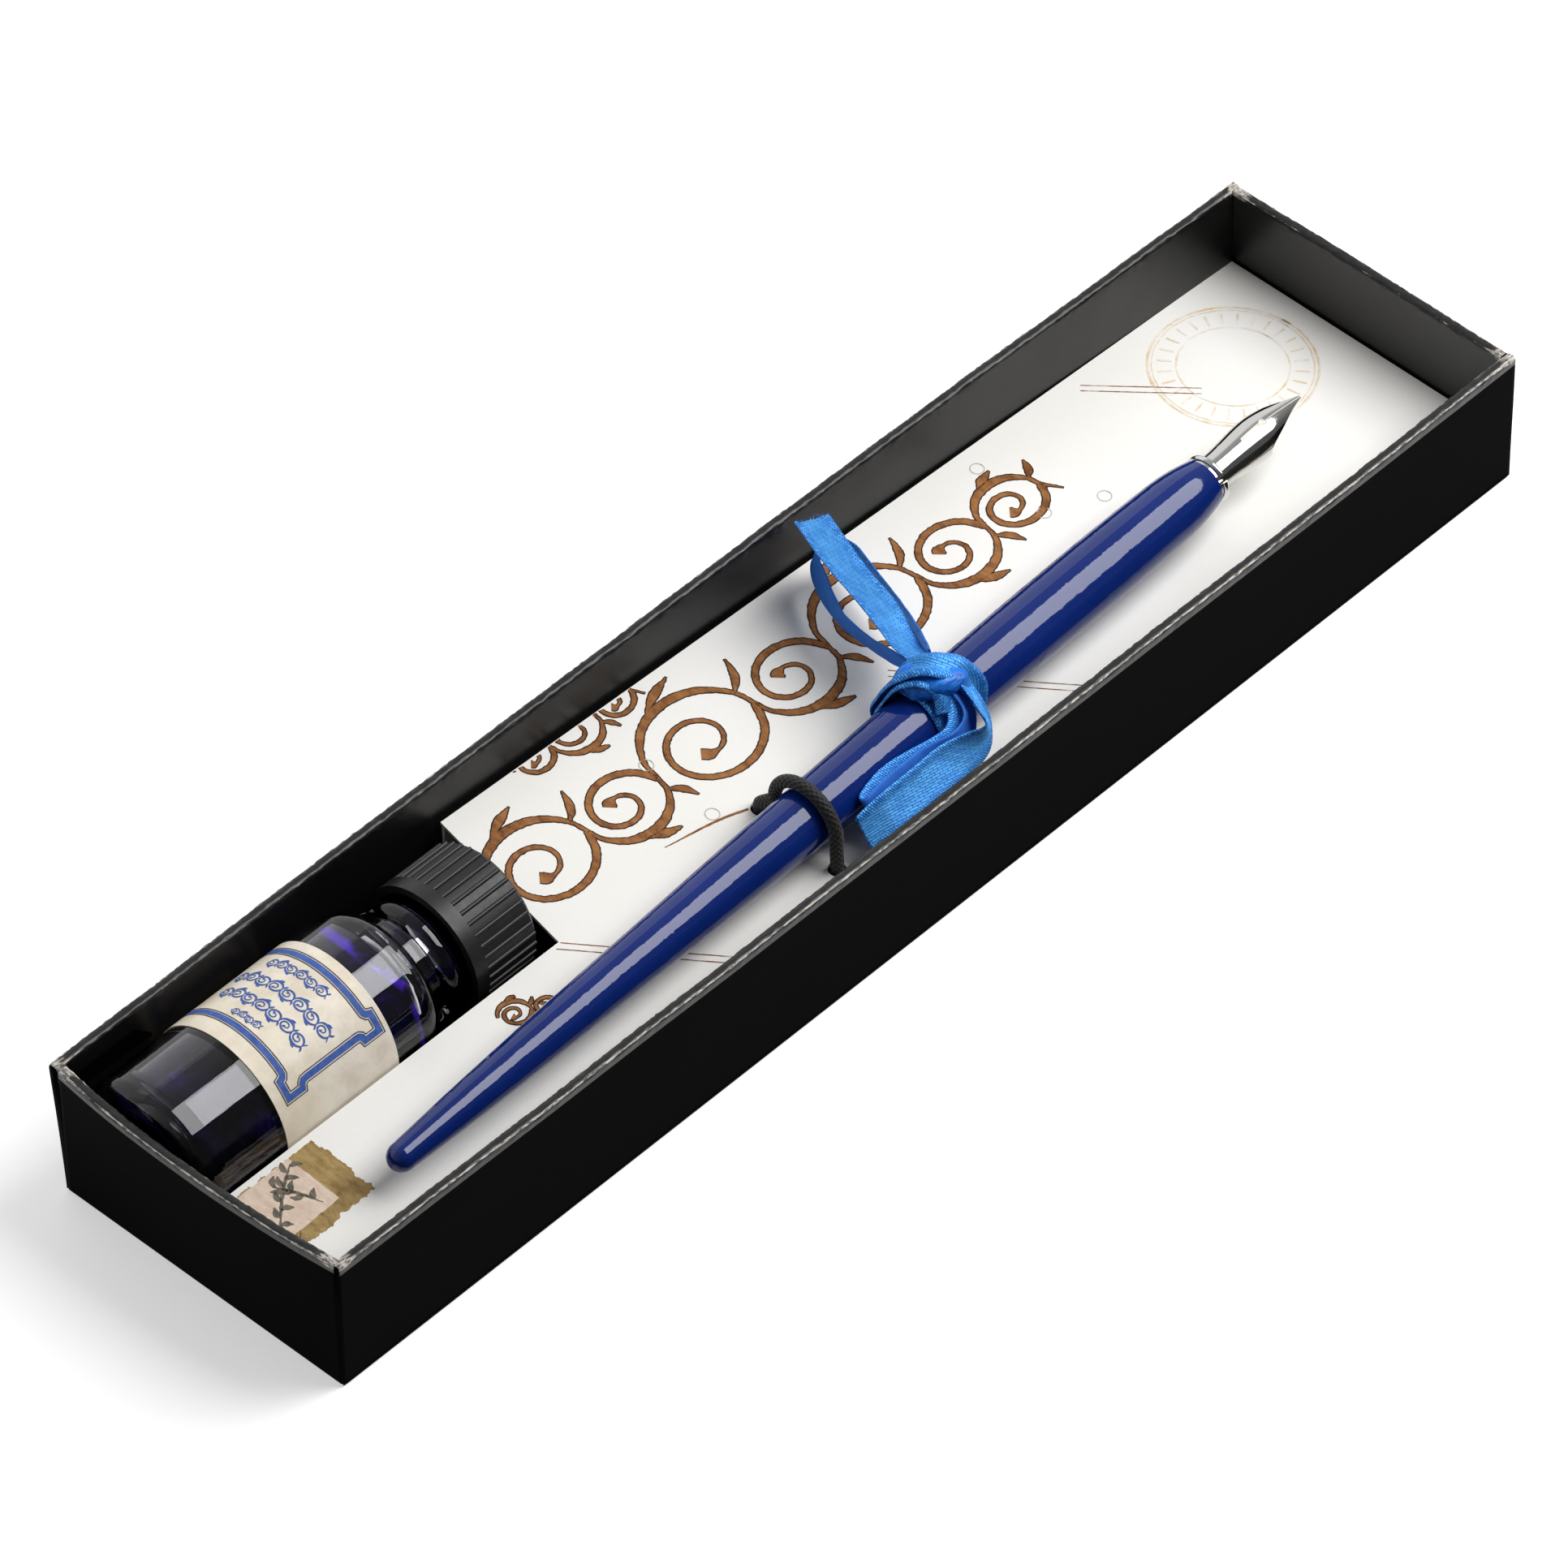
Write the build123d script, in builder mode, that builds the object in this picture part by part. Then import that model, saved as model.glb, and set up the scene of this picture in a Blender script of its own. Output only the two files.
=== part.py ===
"""Calligraphy set box: a folded board tray, a card insert, a dip pen tied with a ribbon, and an ink bottle.

Frame: +X runs from the pen's tail to its nib, +Y points to the wall the bottle leans on, +Z is up.
The origin is the middle of the tray's underside. All lengths are millimetres.
"""
import os
from math import cos, radians, sin

from build123d import *

# Tray: one sheet of board whose walls are rolled over into double walls
TRAY_LENGTH = 200.0
TRAY_WIDTH = 46.0
TRAY_HEIGHT = 20.0
BOARD = 0.45                 # thickness of one ply
WALL = 1.4                   # two plies and the air between them
RIM_RADIUS = WALL / 2        # the rolled-over top edge
TAB_LENGTH = 14.0            # corner tab, folded off an end wall and held between the plies of a side wall
TAB_THICKNESS = 0.4
FIT = 0.03                   # gap between folded plies that lie against each other

# Card insert: a false floor, sprung up on the bottle's side of the tray
CARD = 0.4
CARD_HALF_LENGTH = 98.3
CARD_HALF_WIDTH = 21.35
CARD_LOW_Z = 8.2             # top face along the pen's side
CARD_SPRUNG_Z = 15.0         # top face along the bottle's side, next to the bottle
CARD_FAR_Z = 8.75            # top face along the bottle's side, at the nib end
WINDOW_INNER_Y = 0.0         # edge of the bottle's window along the tray
WINDOW_END_LOW_X = -41.4     # edge of the window across the tray, which runs slightly askew
WINDOW_END_HIGH_X = -38.9
LEG_HEIGHT = 7.2

# Ink bottle, lying on its side
BOTTLE_RADIUS = 10.5
BOTTLE_BASE_X = -98.2
BOTTLE_Y = 10.9
BOTTLE_Z = 11.15
GLASS = 1.2
BODY_LENGTH = 36.2           # base to the start of the shoulder
SHOULDER_RADIUS = 3.4
NECK_RADIUS = 6.9
BEAD_RADIUS = 8.1            # transfer ring under the cap
BEAD_AT = 43.2
FINISH_LENGTH = 53.3         # base to the mouth
INK_LEVEL = 6.3              # above the bottle's axis
LABEL_FROM = 12.8
LABEL_TO = 30.8
LABEL_THICKNESS = 0.1
LABEL_ARC = 330.0

# Screw cap
CAP_RADIUS = 8.9
CAP_FROM = 45.5              # from the bottle's base
CAP_TO = 55.8
CAP_BAND = 2.0               # plain band at the skirt
CAP_WALL = 1.0
CAP_TOP = 1.3
CAP_RIBS = 36
RIB_WIDTH = 0.56             # each rib is half round
LINER_THICKNESS = 0.8

# Dip pen
PEN_TAIL = Vector(-81.4, -12.35, 14.4)
PEN_YAW = 2.55
HOLDER_LENGTH = 144.4
HOLDER_FRONT_RADIUS = 3.2
HOLDER_STATIONS = [(2.2, 1.85), (13.6, 2.4), (40.0, 3.12), (66.0, 3.72), (100.0, 4.2), (124.0, 4.3), (138.0, 4.05)]
BORE_RADIUS = 2.87
BORE_DEPTH = 13.5
SLEEVE_RADIUS = 2.85
SLEEVE_WALL = 0.25
LIP_TUBE = 0.42
LIP_AT = 145.4            # past the holder's front edge, so that a ring of bare sleeve shows
SLEEVE_SLOT = 1.1
PRONG_RADIUS = 2.0
PRONG_WALL = 0.25
PRONG_SLOT = 0.5

# Steel nib, a curved shell
NIB_FROM = 137.0
NIB_SHOULDER = 154.2
NIB_TIP = 162.5
NIB_ROLL = 13.0              # turned a little about the pen, towards the near side
NIB_BASE_RADIUS = 2.44
NIB_SHOULDER_RADIUS = 2.85
NIB_TIP_RADIUS = 1.25        # height of the tip over the pen's axis
NIB_STEEL = 0.24
NIB_WRAP = -1.5              # how far the shoulders reach round below the pen's axis
NIB_POINT = [(154.2, 2.72), (155.4, 2.35), (156.9, 1.9), (158.4, 1.38), (159.5, 0.98), (161.1, 0.5)]
VENT_FROM = 151.0
VENT_TO = 155.0              # middle of the keyhole's round end
VENT_RADIUS = 0.3
KEYHOLE_RADIUS = 0.55
SLIT = 0.12

# Elastic that ties the pen down
ELASTIC_X = -9.4
ELASTIC_DIAMETER = 1.7
ELASTIC_FOOT_FAR = (-1.7, 9.8)
ELASTIC_FOOT_NEAR_Z = 8.35
ELASTIC_BEND = 4.95          # radius of the cord's centre line over the pen
ELASTIC_HOLE_PLAY = 0.3
BARB_LENGTH = 6.0
BARB_WIDTH = 1.6
BARB_THICKNESS = 0.7

# Satin ribbon tied round the holder
RIBBON_AT = 93.5             # along the holder
RIBBON_WIDTH = 5.6
RIBBON_THICKNESS = 0.4


def card_left_height(x):
    """Height of the card's top face along its sprung edge."""
    if x <= WINDOW_END_LOW_X:
        return CARD_SPRUNG_Z
    share = (x - WINDOW_END_LOW_X) / (CARD_HALF_LENGTH - WINDOW_END_LOW_X)
    return CARD_SPRUNG_Z + share * (CARD_FAR_Z - CARD_SPRUNG_Z)


def card_height(x, y):
    """Height of the card's top face."""
    share = (y + CARD_HALF_WIDTH) / (2 * CARD_HALF_WIDTH)
    return CARD_LOW_Z + share * (card_left_height(x) - CARD_LOW_Z)


def finish(builder, name):
    """Label a finished piece and write it to its own file."""
    builder.part.label = name
    export_step(builder.part, f"parts/{name}.step")


# ---------------------------------------------------------------- tray

def rolled_wall_line(outer, inward):
    """Outline of a double wall: outer ply, rolled rim and inner ply. outer is where its outer face stands."""
    spring = TRAY_HEIGHT - RIM_RADIUS
    foot = BOARD + FIT

    def at(depth, height):
        return (outer + inward * depth, height)

    with BuildLine() as outline:
        Polyline(at(WALL, spring), at(WALL, foot), at(WALL - BOARD, foot), at(WALL - BOARD, spring))
        ThreePointArc(at(WALL - BOARD, spring), at(RIM_RADIUS, TRAY_HEIGHT - BOARD), at(BOARD, spring))
        Polyline(at(BOARD, spring), at(BOARD, 0), at(0, 0), at(0, spring))
        ThreePointArc(at(0, spring), at(RIM_RADIUS, TRAY_HEIGHT), at(WALL, spring))
    return outline.edges()


def make_floor():
    with BuildPart() as floor:
        Box(TRAY_LENGTH - 2 * BOARD - FIT, TRAY_WIDTH - 2 * BOARD - FIT, BOARD,
            align=(Align.CENTER, Align.CENTER, Align.MIN))
    finish(floor, "tray_floor")


def make_side_wall(name, side):
    """Long wall. Its outer ply runs the whole length, and its rim stops inside the end walls."""
    with BuildPart() as wall:
        with BuildSketch(Plane.YZ.offset(-TRAY_LENGTH / 2 + BOARD)):
            make_face(rolled_wall_line(side * TRAY_WIDTH / 2, -side))
        extrude(amount=TRAY_LENGTH - 2 * BOARD)
        end_height = TRAY_HEIGHT - RIM_RADIUS
        with Locations((0, side * (TRAY_WIDTH - BOARD) / 2, end_height / 2)):
            Box(TRAY_LENGTH, BOARD, end_height)
    finish(wall, name)


def make_end_wall(name, end):
    """Short wall. Its outer ply reaches in between the outer plies of the long walls."""
    with BuildPart() as wall:
        with BuildSketch(Plane.XZ):
            make_face(rolled_wall_line(end * TRAY_LENGTH / 2, -end))
        extrude(amount=TRAY_WIDTH / 2 - WALL - FIT, both=True)
        end_height = TRAY_HEIGHT - RIM_RADIUS
        with Locations((end * (TRAY_LENGTH - BOARD) / 2, 0, end_height / 2)):
            Box(BOARD, TRAY_WIDTH - 2 * BOARD - 2 * FIT, end_height)
    finish(wall, name)


def make_corner_tab(name, end, side):
    """Tab folded off an end wall and tucked between the plies of a side wall."""
    length = TAB_LENGTH
    height = TRAY_HEIGHT - 2.5
    chamfer_run = 2.5
    with BuildPart() as tab:
        start = end * (TRAY_LENGTH / 2 - BOARD - FIT)
        middle = side * (TRAY_WIDTH / 2 - WALL / 2)
        with BuildSketch(Plane.XZ.offset(-middle)):
            with BuildLine():
                Polyline((start, 1.0), (start, height), (start - end * (length - chamfer_run), height),
                         (start - end * length, height - chamfer_run), (start - end * length, 1.0 + chamfer_run),
                         (start - end * (length - chamfer_run), 1.0), close=True)
            make_face()
        extrude(amount=TAB_THICKNESS / 2, both=True)
    finish(tab, name)


# ---------------------------------------------------------------- card insert

def card_section(x):
    """Outline of the card's thin slanting section across the tray."""
    high = card_left_height(x)
    with BuildLine() as outline:
        Polyline((-CARD_HALF_WIDTH, CARD_LOW_Z - CARD), (-CARD_HALF_WIDTH, CARD_LOW_Z),
                 (CARD_HALF_WIDTH, high), (CARD_HALF_WIDTH, high - CARD), close=True)
    return outline.edges()


def elastic_pen_y():
    """The pen's axis where the elastic crosses it."""
    return PEN_TAIL.Y + (ELASTIC_X - PEN_TAIL.X) * sin(radians(PEN_YAW)) / cos(radians(PEN_YAW))


def make_card():
    """Card with the bottle's window and the two holes for the elastic."""
    near_hole_y = elastic_pen_y() - ELASTIC_BEND
    with BuildPart() as card:
        with BuildSketch(Plane.YZ.offset(-CARD_HALF_LENGTH)):
            make_face(card_section(-CARD_HALF_LENGTH))
        extrude(amount=WINDOW_END_LOW_X + CARD_HALF_LENGTH)
        with BuildSketch(Plane.YZ.offset(WINDOW_END_LOW_X)):
            make_face(card_section(WINDOW_END_LOW_X))
        with BuildSketch(Plane.YZ.offset(CARD_HALF_LENGTH)):
            make_face(card_section(CARD_HALF_LENGTH))
        loft(ruled=True)
        with BuildSketch(Plane.XY):
            with BuildLine():
                Polyline((-TRAY_LENGTH / 2, WINDOW_INNER_Y), (WINDOW_END_LOW_X, WINDOW_INNER_Y),
                         (WINDOW_END_HIGH_X, TRAY_WIDTH / 2), (-TRAY_LENGTH / 2, TRAY_WIDTH / 2), close=True)
            make_face()
            with Locations((ELASTIC_X, ELASTIC_FOOT_FAR[0]), (ELASTIC_X, near_hole_y)):
                Circle(ELASTIC_DIAMETER / 2 + ELASTIC_HOLE_PLAY)
        extrude(amount=TRAY_HEIGHT, mode=Mode.SUBTRACT)
    finish(card, "insert_card")


def make_side_leg(name, y, start, top):
    """Flange folded down from a long edge of the card. top gives the card's underside at each end."""
    with BuildPart() as leg:
        with BuildSketch(Plane.XZ.offset(-y)):
            with BuildLine():
                Polyline((start, top[0]), (CARD_HALF_LENGTH, top[1]),
                         (CARD_HALF_LENGTH, top[1] - LEG_HEIGHT), (start, top[0] - LEG_HEIGHT), close=True)
            make_face()
        extrude(amount=CARD / 2, both=True)
    finish(leg, name)


def make_end_leg():
    """Flange folded down from the card's edge at the nib end."""
    inset = 1.5
    half = CARD_HALF_WIDTH - inset
    x = CARD_HALF_LENGTH - CARD / 2
    with BuildPart() as leg:
        with BuildSketch(Plane.YZ.offset(x)):
            with BuildLine():
                Polyline((-half, card_height(x, -half) - CARD - FIT), (half, card_height(x, half) - CARD - FIT),
                         (half - 3, 0.6), (-half + 3, 0.6), close=True)
            make_face()
        extrude(amount=CARD / 2, both=True)
    finish(leg, "insert_leg_nib_end")


def make_elastic():
    """Round cord from one hole of the card to the other, over the pen."""
    y = elastic_pen_y()
    top = PEN_TAIL.Z + ELASTIC_BEND
    far = y + ELASTIC_BEND
    near = y - ELASTIC_BEND
    ankle = ELASTIC_FOOT_FAR[1] + 1.9
    knee = PEN_TAIL.Z - 0.4
    bend = ELASTIC_BEND - 0.01
    with BuildPart() as cord:
        with BuildLine(Plane.YZ.offset(ELASTIC_X)) as path:
            FilletPolyline(ELASTIC_FOOT_FAR, (ELASTIC_FOOT_FAR[0], ankle), (far, knee), (far, top), (near, top),
                           (near, ELASTIC_FOOT_NEAR_Z), radius=[0.9, 0.9, bend, bend])
        with BuildSketch(Plane(origin=path.line @ 0, z_dir=path.line % 0)):
            Circle(ELASTIC_DIAMETER / 2)
        sweep()
    finish(cord, "elastic_loop")


def make_barb(name, y, top):
    """Flat bar on the end of the elastic, caught under the card."""
    with BuildPart() as barb:
        with BuildSketch(Plane.XY.offset(top)):
            with Locations((ELASTIC_X, y)):
                SlotOverall(BARB_LENGTH, BARB_WIDTH)
        extrude(amount=-BARB_THICKNESS)
        fillet(barb.edges().group_by(Axis.Z)[0], BARB_THICKNESS * 0.4)
    finish(barb, name)


# ---------------------------------------------------------------- ink bottle

bottle_side = Plane(origin=(BOTTLE_BASE_X, BOTTLE_Y, BOTTLE_Z), x_dir=(1, 0, 0), z_dir=(0, -1, 0))
bottle_axis = Axis((BOTTLE_BASE_X, BOTTLE_Y, BOTTLE_Z), (1, 0, 0))


def bottle_cross(along):
    """Plane across the bottle, at a distance from its base."""
    return Plane(origin=(BOTTLE_BASE_X + along, BOTTLE_Y, BOTTLE_Z), x_dir=(0, 1, 0), z_dir=(1, 0, 0))


def inner_bottle_line(shrink):
    """Closed outline of the bottle's cavity, made smaller all round by shrink."""
    radius = BOTTLE_RADIUS - GLASS - shrink
    neck = NECK_RADIUS - GLASS - shrink
    floor = 2.2 + shrink
    end = FINISH_LENGTH
    with BuildLine() as outline:
        Line((floor, 0), (floor, radius - 2))
        ThreePointArc((floor, radius - 2), (floor + 0.59, radius - 0.59), (floor + 2, radius))
        Line((floor + 2, radius), (BODY_LENGTH - 0.6, radius))
        RadiusArc((BODY_LENGTH - 0.6, radius), (BODY_LENGTH + 2.6, neck), 4.2)
        Polyline((BODY_LENGTH + 2.6, neck), (end, neck), (end, 0), (floor, 0))
    return outline.edges()


def make_bottle():
    """Glass bottle with a pushed-up base, a round shoulder, a transfer ring and a plain neck finish."""
    shoulder_end = BODY_LENGTH + SHOULDER_RADIUS
    with BuildPart() as bottle:
        with BuildSketch(bottle_side):
            with BuildLine():
                Line((0.9, 0), (0.9, 6.0))
                Line((0.9, 6.0), (0, 7.6))
                Line((0, 7.6), (0, BOTTLE_RADIUS - 1.9))
                ThreePointArc((0, BOTTLE_RADIUS - 1.9), (0.56, BOTTLE_RADIUS - 0.56), (1.9, BOTTLE_RADIUS))
                Line((1.9, BOTTLE_RADIUS), (BODY_LENGTH, BOTTLE_RADIUS))
                JernArc((BODY_LENGTH, BOTTLE_RADIUS), (1, 0), SHOULDER_RADIUS, -90)
                Polyline((shoulder_end, BOTTLE_RADIUS - SHOULDER_RADIUS), (shoulder_end + 0.3, NECK_RADIUS),
                         (BEAD_AT - 1.4, NECK_RADIUS))
                ThreePointArc((BEAD_AT - 1.4, NECK_RADIUS), (BEAD_AT, BEAD_RADIUS), (BEAD_AT + 1.4, NECK_RADIUS))
                Polyline((BEAD_AT + 1.4, NECK_RADIUS), (FINISH_LENGTH, NECK_RADIUS), (FINISH_LENGTH, 0), (0.9, 0))
            make_face()
        revolve(axis=bottle_axis)
        with BuildSketch(bottle_side):
            make_face(inner_bottle_line(0))
        revolve(axis=bottle_axis, mode=Mode.SUBTRACT)
    finish(bottle, "bottle_glass")


def make_ink():
    """Ink in the lying bottle, with an air bubble left along its upper side."""
    with BuildPart() as ink:
        with BuildSketch(bottle_side):
            make_face(inner_bottle_line(0.05))
        revolve(axis=bottle_axis)
        split(bisect_by=Plane.XY.offset(BOTTLE_Z + INK_LEVEL), keep=Keep.BOTTOM)
    finish(ink, "ink")


def make_label():
    """Paper label wrapped round the bottle, its two ends facing the tray floor."""
    start = bottle_side.rotated((180 + (360 - LABEL_ARC) / 2, 0, 0))
    with BuildPart() as label:
        with BuildSketch(start):
            with Locations(((LABEL_FROM + LABEL_TO) / 2, BOTTLE_RADIUS + 0.02 + LABEL_THICKNESS / 2)):
                Rectangle(LABEL_TO - LABEL_FROM, LABEL_THICKNESS)
        revolve(axis=bottle_axis, revolution_arc=LABEL_ARC)
    finish(label, "bottle_label")


def make_cap():
    """Screw cap with a plain band at its skirt and thin ribs along the rest."""
    rib_length = CAP_TO - CAP_FROM - CAP_BAND - 0.5
    with BuildPart() as cap:
        with BuildSketch(bottle_cross(CAP_FROM)):
            Circle(CAP_RADIUS)
            Circle(CAP_RADIUS - CAP_WALL, mode=Mode.SUBTRACT)
        extrude(amount=CAP_BAND)
        with BuildSketch(bottle_cross(CAP_FROM + CAP_BAND)):
            Circle(CAP_RADIUS - RIB_WIDTH / 2)
            Circle(CAP_RADIUS - CAP_WALL, mode=Mode.SUBTRACT)
        extrude(amount=CAP_TO - CAP_FROM - CAP_BAND - CAP_TOP)
        with BuildSketch(bottle_cross(CAP_TO - CAP_TOP)):
            Circle(CAP_RADIUS - RIB_WIDTH / 2)
        extrude(amount=CAP_TOP, taper=0)
        chamfer(cap.faces().sort_by(Axis.X)[-1].edges(), 0.5)
        with BuildSketch(bottle_cross(CAP_FROM + CAP_BAND)):
            with PolarLocations(CAP_RADIUS - RIB_WIDTH / 2, CAP_RIBS):
                Circle(RIB_WIDTH / 2)
        extrude(amount=rib_length)
    finish(cap, "bottle_cap")


def make_liner():
    """Soft disc inside the cap, pressed on the bottle's mouth."""
    with BuildPart() as liner:
        with BuildSketch(bottle_cross(CAP_TO - CAP_TOP - FIT)):
            Circle(CAP_RADIUS - CAP_WALL - 0.15)
        extrude(amount=-LINER_THICKNESS)
    finish(liner, "cap_liner")


# ---------------------------------------------------------------- dip pen

pen_direction = Vector(cos(radians(PEN_YAW)), sin(radians(PEN_YAW)), 0)
pen_left = Vector(-sin(radians(PEN_YAW)), cos(radians(PEN_YAW)), 0)
pen_axis = Axis(PEN_TAIL, pen_direction)
pen_side = Plane(origin=PEN_TAIL, x_dir=pen_direction, z_dir=-pen_left)
pen_plan = Plane(origin=PEN_TAIL, x_dir=pen_direction, z_dir=(0, 0, 1))
nib_up = Vector(0, 0, cos(radians(NIB_ROLL))) - pen_left * sin(radians(NIB_ROLL))
nib_left = pen_left * cos(radians(NIB_ROLL)) + Vector(0, 0, sin(radians(NIB_ROLL)))
nib_side = Plane(origin=PEN_TAIL, x_dir=pen_direction, z_dir=-nib_left)
nib_plan = Plane(origin=PEN_TAIL, x_dir=pen_direction, z_dir=nib_up)


def pen_cross(along):
    """Plane across the pen, at a distance from its tail. Its local x points left and its local y up."""
    return Plane(origin=PEN_TAIL + pen_direction * along, x_dir=pen_left, z_dir=pen_direction)


def make_holder():
    """Lacquered holder, turned to a long taper, with a bore for the ferrule."""
    with BuildPart() as holder:
        with BuildSketch(pen_side):
            with BuildLine():
                front = (HOLDER_LENGTH, HOLDER_FRONT_RADIUS)
                ThreePointArc((0, 0), (0.65, 1.35), HOLDER_STATIONS[0])
                taper = Spline(*HOLDER_STATIONS)
                TangentArc(taper @ 1, front, tangent=taper % 1)
                Polyline(front, (HOLDER_LENGTH, BORE_RADIUS), (HOLDER_LENGTH - BORE_DEPTH, BORE_RADIUS),
                         (HOLDER_LENGTH - BORE_DEPTH, 0), (0, 0))
            make_face()
        revolve(axis=pen_axis)
    finish(holder, "pen_holder")


def make_sleeve():
    """Split steel sleeve pressed into the holder, its mouth rolled over into a lip."""
    length = LIP_AT - HOLDER_LENGTH + BORE_DEPTH - FIT
    with BuildPart() as sleeve:
        with BuildSketch(pen_side):
            with Locations((LIP_AT - length / 2, SLEEVE_RADIUS - SLEEVE_WALL / 2)):
                Rectangle(length, SLEEVE_WALL)
            with Locations((LIP_AT, SLEEVE_RADIUS)):
                Circle(LIP_TUBE)
            with Locations((LIP_AT, SLEEVE_RADIUS - SLEEVE_WALL - LIP_TUBE)):
                Rectangle(2 * LIP_TUBE, 2 * LIP_TUBE, mode=Mode.SUBTRACT)
        revolve(axis=pen_axis)
        with BuildSketch(pen_cross(LIP_AT + LIP_TUBE + 1)):
            with Locations(Location((0, 0), -35)):
                with Locations((-4, 0)):
                    Rectangle(8, SLEEVE_SLOT, mode=Mode.ADD)
        extrude(amount=-(length + 3), mode=Mode.SUBTRACT)
    finish(sleeve, "ferrule_sleeve")


def make_prongs():
    """Four spring prongs inside the sleeve, which press the nib against it."""
    start = HOLDER_LENGTH - BORE_DEPTH + 0.1
    back = 1.0
    length = LIP_AT - start
    with BuildPart() as prongs:
        with BuildSketch(pen_cross(start)):
            Circle(PRONG_RADIUS)
        extrude(amount=back)
        with BuildSketch(pen_cross(start + back)):
            Circle(PRONG_RADIUS)
            Circle(PRONG_RADIUS - PRONG_WALL, mode=Mode.SUBTRACT)
            with Locations(Location((0, 0), 45)):
                Rectangle(3 * PRONG_RADIUS, PRONG_SLOT, mode=Mode.SUBTRACT)
                Rectangle(PRONG_SLOT, 3 * PRONG_RADIUS, mode=Mode.SUBTRACT)
        extrude(amount=length - back)
    finish(prongs, "ferrule_prongs")


def make_nib():
    """Pointed nib: a curved steel shell with a keyhole vent and a slit, its shoulders wrapped round below."""
    neck_at = 147.5
    tip_fall = 0.25
    with BuildPart() as nib:
        with BuildSketch(nib_side):
            with BuildLine():
                outer = Spline((neck_at, NIB_BASE_RADIUS), (NIB_SHOULDER, NIB_SHOULDER_RADIUS),
                               (NIB_TIP, NIB_TIP_RADIUS), tangents=[(1, 0.02), (1, -tip_fall)])
                Line(outer @ 1, (NIB_TIP, NIB_TIP_RADIUS - NIB_STEEL))
                lower = Spline((NIB_TIP, NIB_TIP_RADIUS - NIB_STEEL), (NIB_SHOULDER, NIB_SHOULDER_RADIUS - NIB_STEEL),
                               (neck_at, NIB_BASE_RADIUS - NIB_STEEL), tangents=[(-1, tip_fall), (-1, -0.02)])
                Polyline(lower @ 1, (NIB_FROM, NIB_BASE_RADIUS - NIB_STEEL), (NIB_FROM, NIB_BASE_RADIUS), outer @ 0)
            make_face()
        revolve(axis=pen_axis)
        with BuildSketch(nib_plan):
            with BuildLine():
                half = [(NIB_FROM - 1, 4), (NIB_SHOULDER - 0.4, 4), *NIB_POINT, (NIB_TIP + 0.01, 0.14)]
                Polyline(*half, *[(x, -y) for x, y in reversed(half)], close=True)
            make_face()
        extrude(amount=5, both=True, mode=Mode.INTERSECT)
        with BuildSketch(nib_side):
            with BuildLine():
                Polyline((NIB_FROM - 1, 0.3), (neck_at, 0.3), (NIB_SHOULDER - 0.1, NIB_WRAP), (NIB_SHOULDER + 0.1, 0.9),
                         (NIB_TIP + 1, 0.9), (NIB_TIP + 1, -5), (NIB_FROM - 1, -5), close=True)
            make_face()
        extrude(amount=5, both=True, mode=Mode.SUBTRACT)
        with BuildSketch(nib_plan):
            with Locations(((VENT_FROM + VENT_TO) / 2, 0)):
                SlotOverall(VENT_TO - VENT_FROM, 2 * VENT_RADIUS)
            with Locations((VENT_TO, 0)):
                Circle(KEYHOLE_RADIUS)
            with Locations(((VENT_TO + NIB_TIP) / 2 + 0.5, 0)):
                Rectangle(NIB_TIP - VENT_TO + 1, SLIT)
        extrude(amount=5, mode=Mode.SUBTRACT)
    finish(nib, "nib")


# ---------------------------------------------------------------- ribbon

def holder_radius(along):
    """Radius of the holder between its measured stations."""
    before = max((s for s in HOLDER_STATIONS if s[0] <= along), key=lambda s: s[0])
    after = min((s for s in HOLDER_STATIONS if s[0] > along), key=lambda s: s[0])
    share = (along - before[0]) / (after[0] - before[0])
    return before[1] + share * (after[1] - before[1])


def make_ribbon_band():
    """The turn of ribbon round the holder."""
    inner = holder_radius(RIBBON_AT) + 0.12
    with BuildPart() as band:
        with BuildSketch(pen_cross(RIBBON_AT - 2.4)):
            Circle(inner + RIBBON_THICKNESS)
            Circle(inner, mode=Mode.SUBTRACT)
        extrude(amount=4.8)
    finish(band, "ribbon_band")


def make_ribbon_knot():
    """Pulled-tight knot on top of the holder, thickest in its middle."""
    bottom = holder_radius(RIBBON_AT) + 0.12 + RIBBON_THICKNESS + 0.02
    sections = [(-2.4, 0.9, 3.0, 1.4), (-1.2, 0.5, 5.6, 2.3), (1.2, -0.3, 6.8, 2.7), (3.4, -0.9, 5.6, 2.2),
                (4.6, -1.2, 3.2, 1.3)]
    with BuildPart() as knot:
        for along, left, width, height in sections:
            with BuildSketch(pen_cross(RIBBON_AT + along)):
                with Locations((left, bottom + height / 2)):
                    RectangleRounded(width, height, 0.46 * height)
        loft()
    finish(knot, "ribbon_knot")


def make_ribbon(name, stations):
    """Flat ribbon between its two long edges. Each station has a point of one edge and the point across from it."""
    with BuildLine() as first_edge:
        Spline(*[first for first, second in stations])
    with BuildLine() as second_edge:
        Spline(*[second for first, second in stations])
    middle = Face.make_surface_from_curves(first_edge.edge(), second_edge.edge())
    with BuildPart() as ribbon:
        thicken(middle, amount=RIBBON_THICKNESS / 2, both=True)
    finish(ribbon, name)


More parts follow.
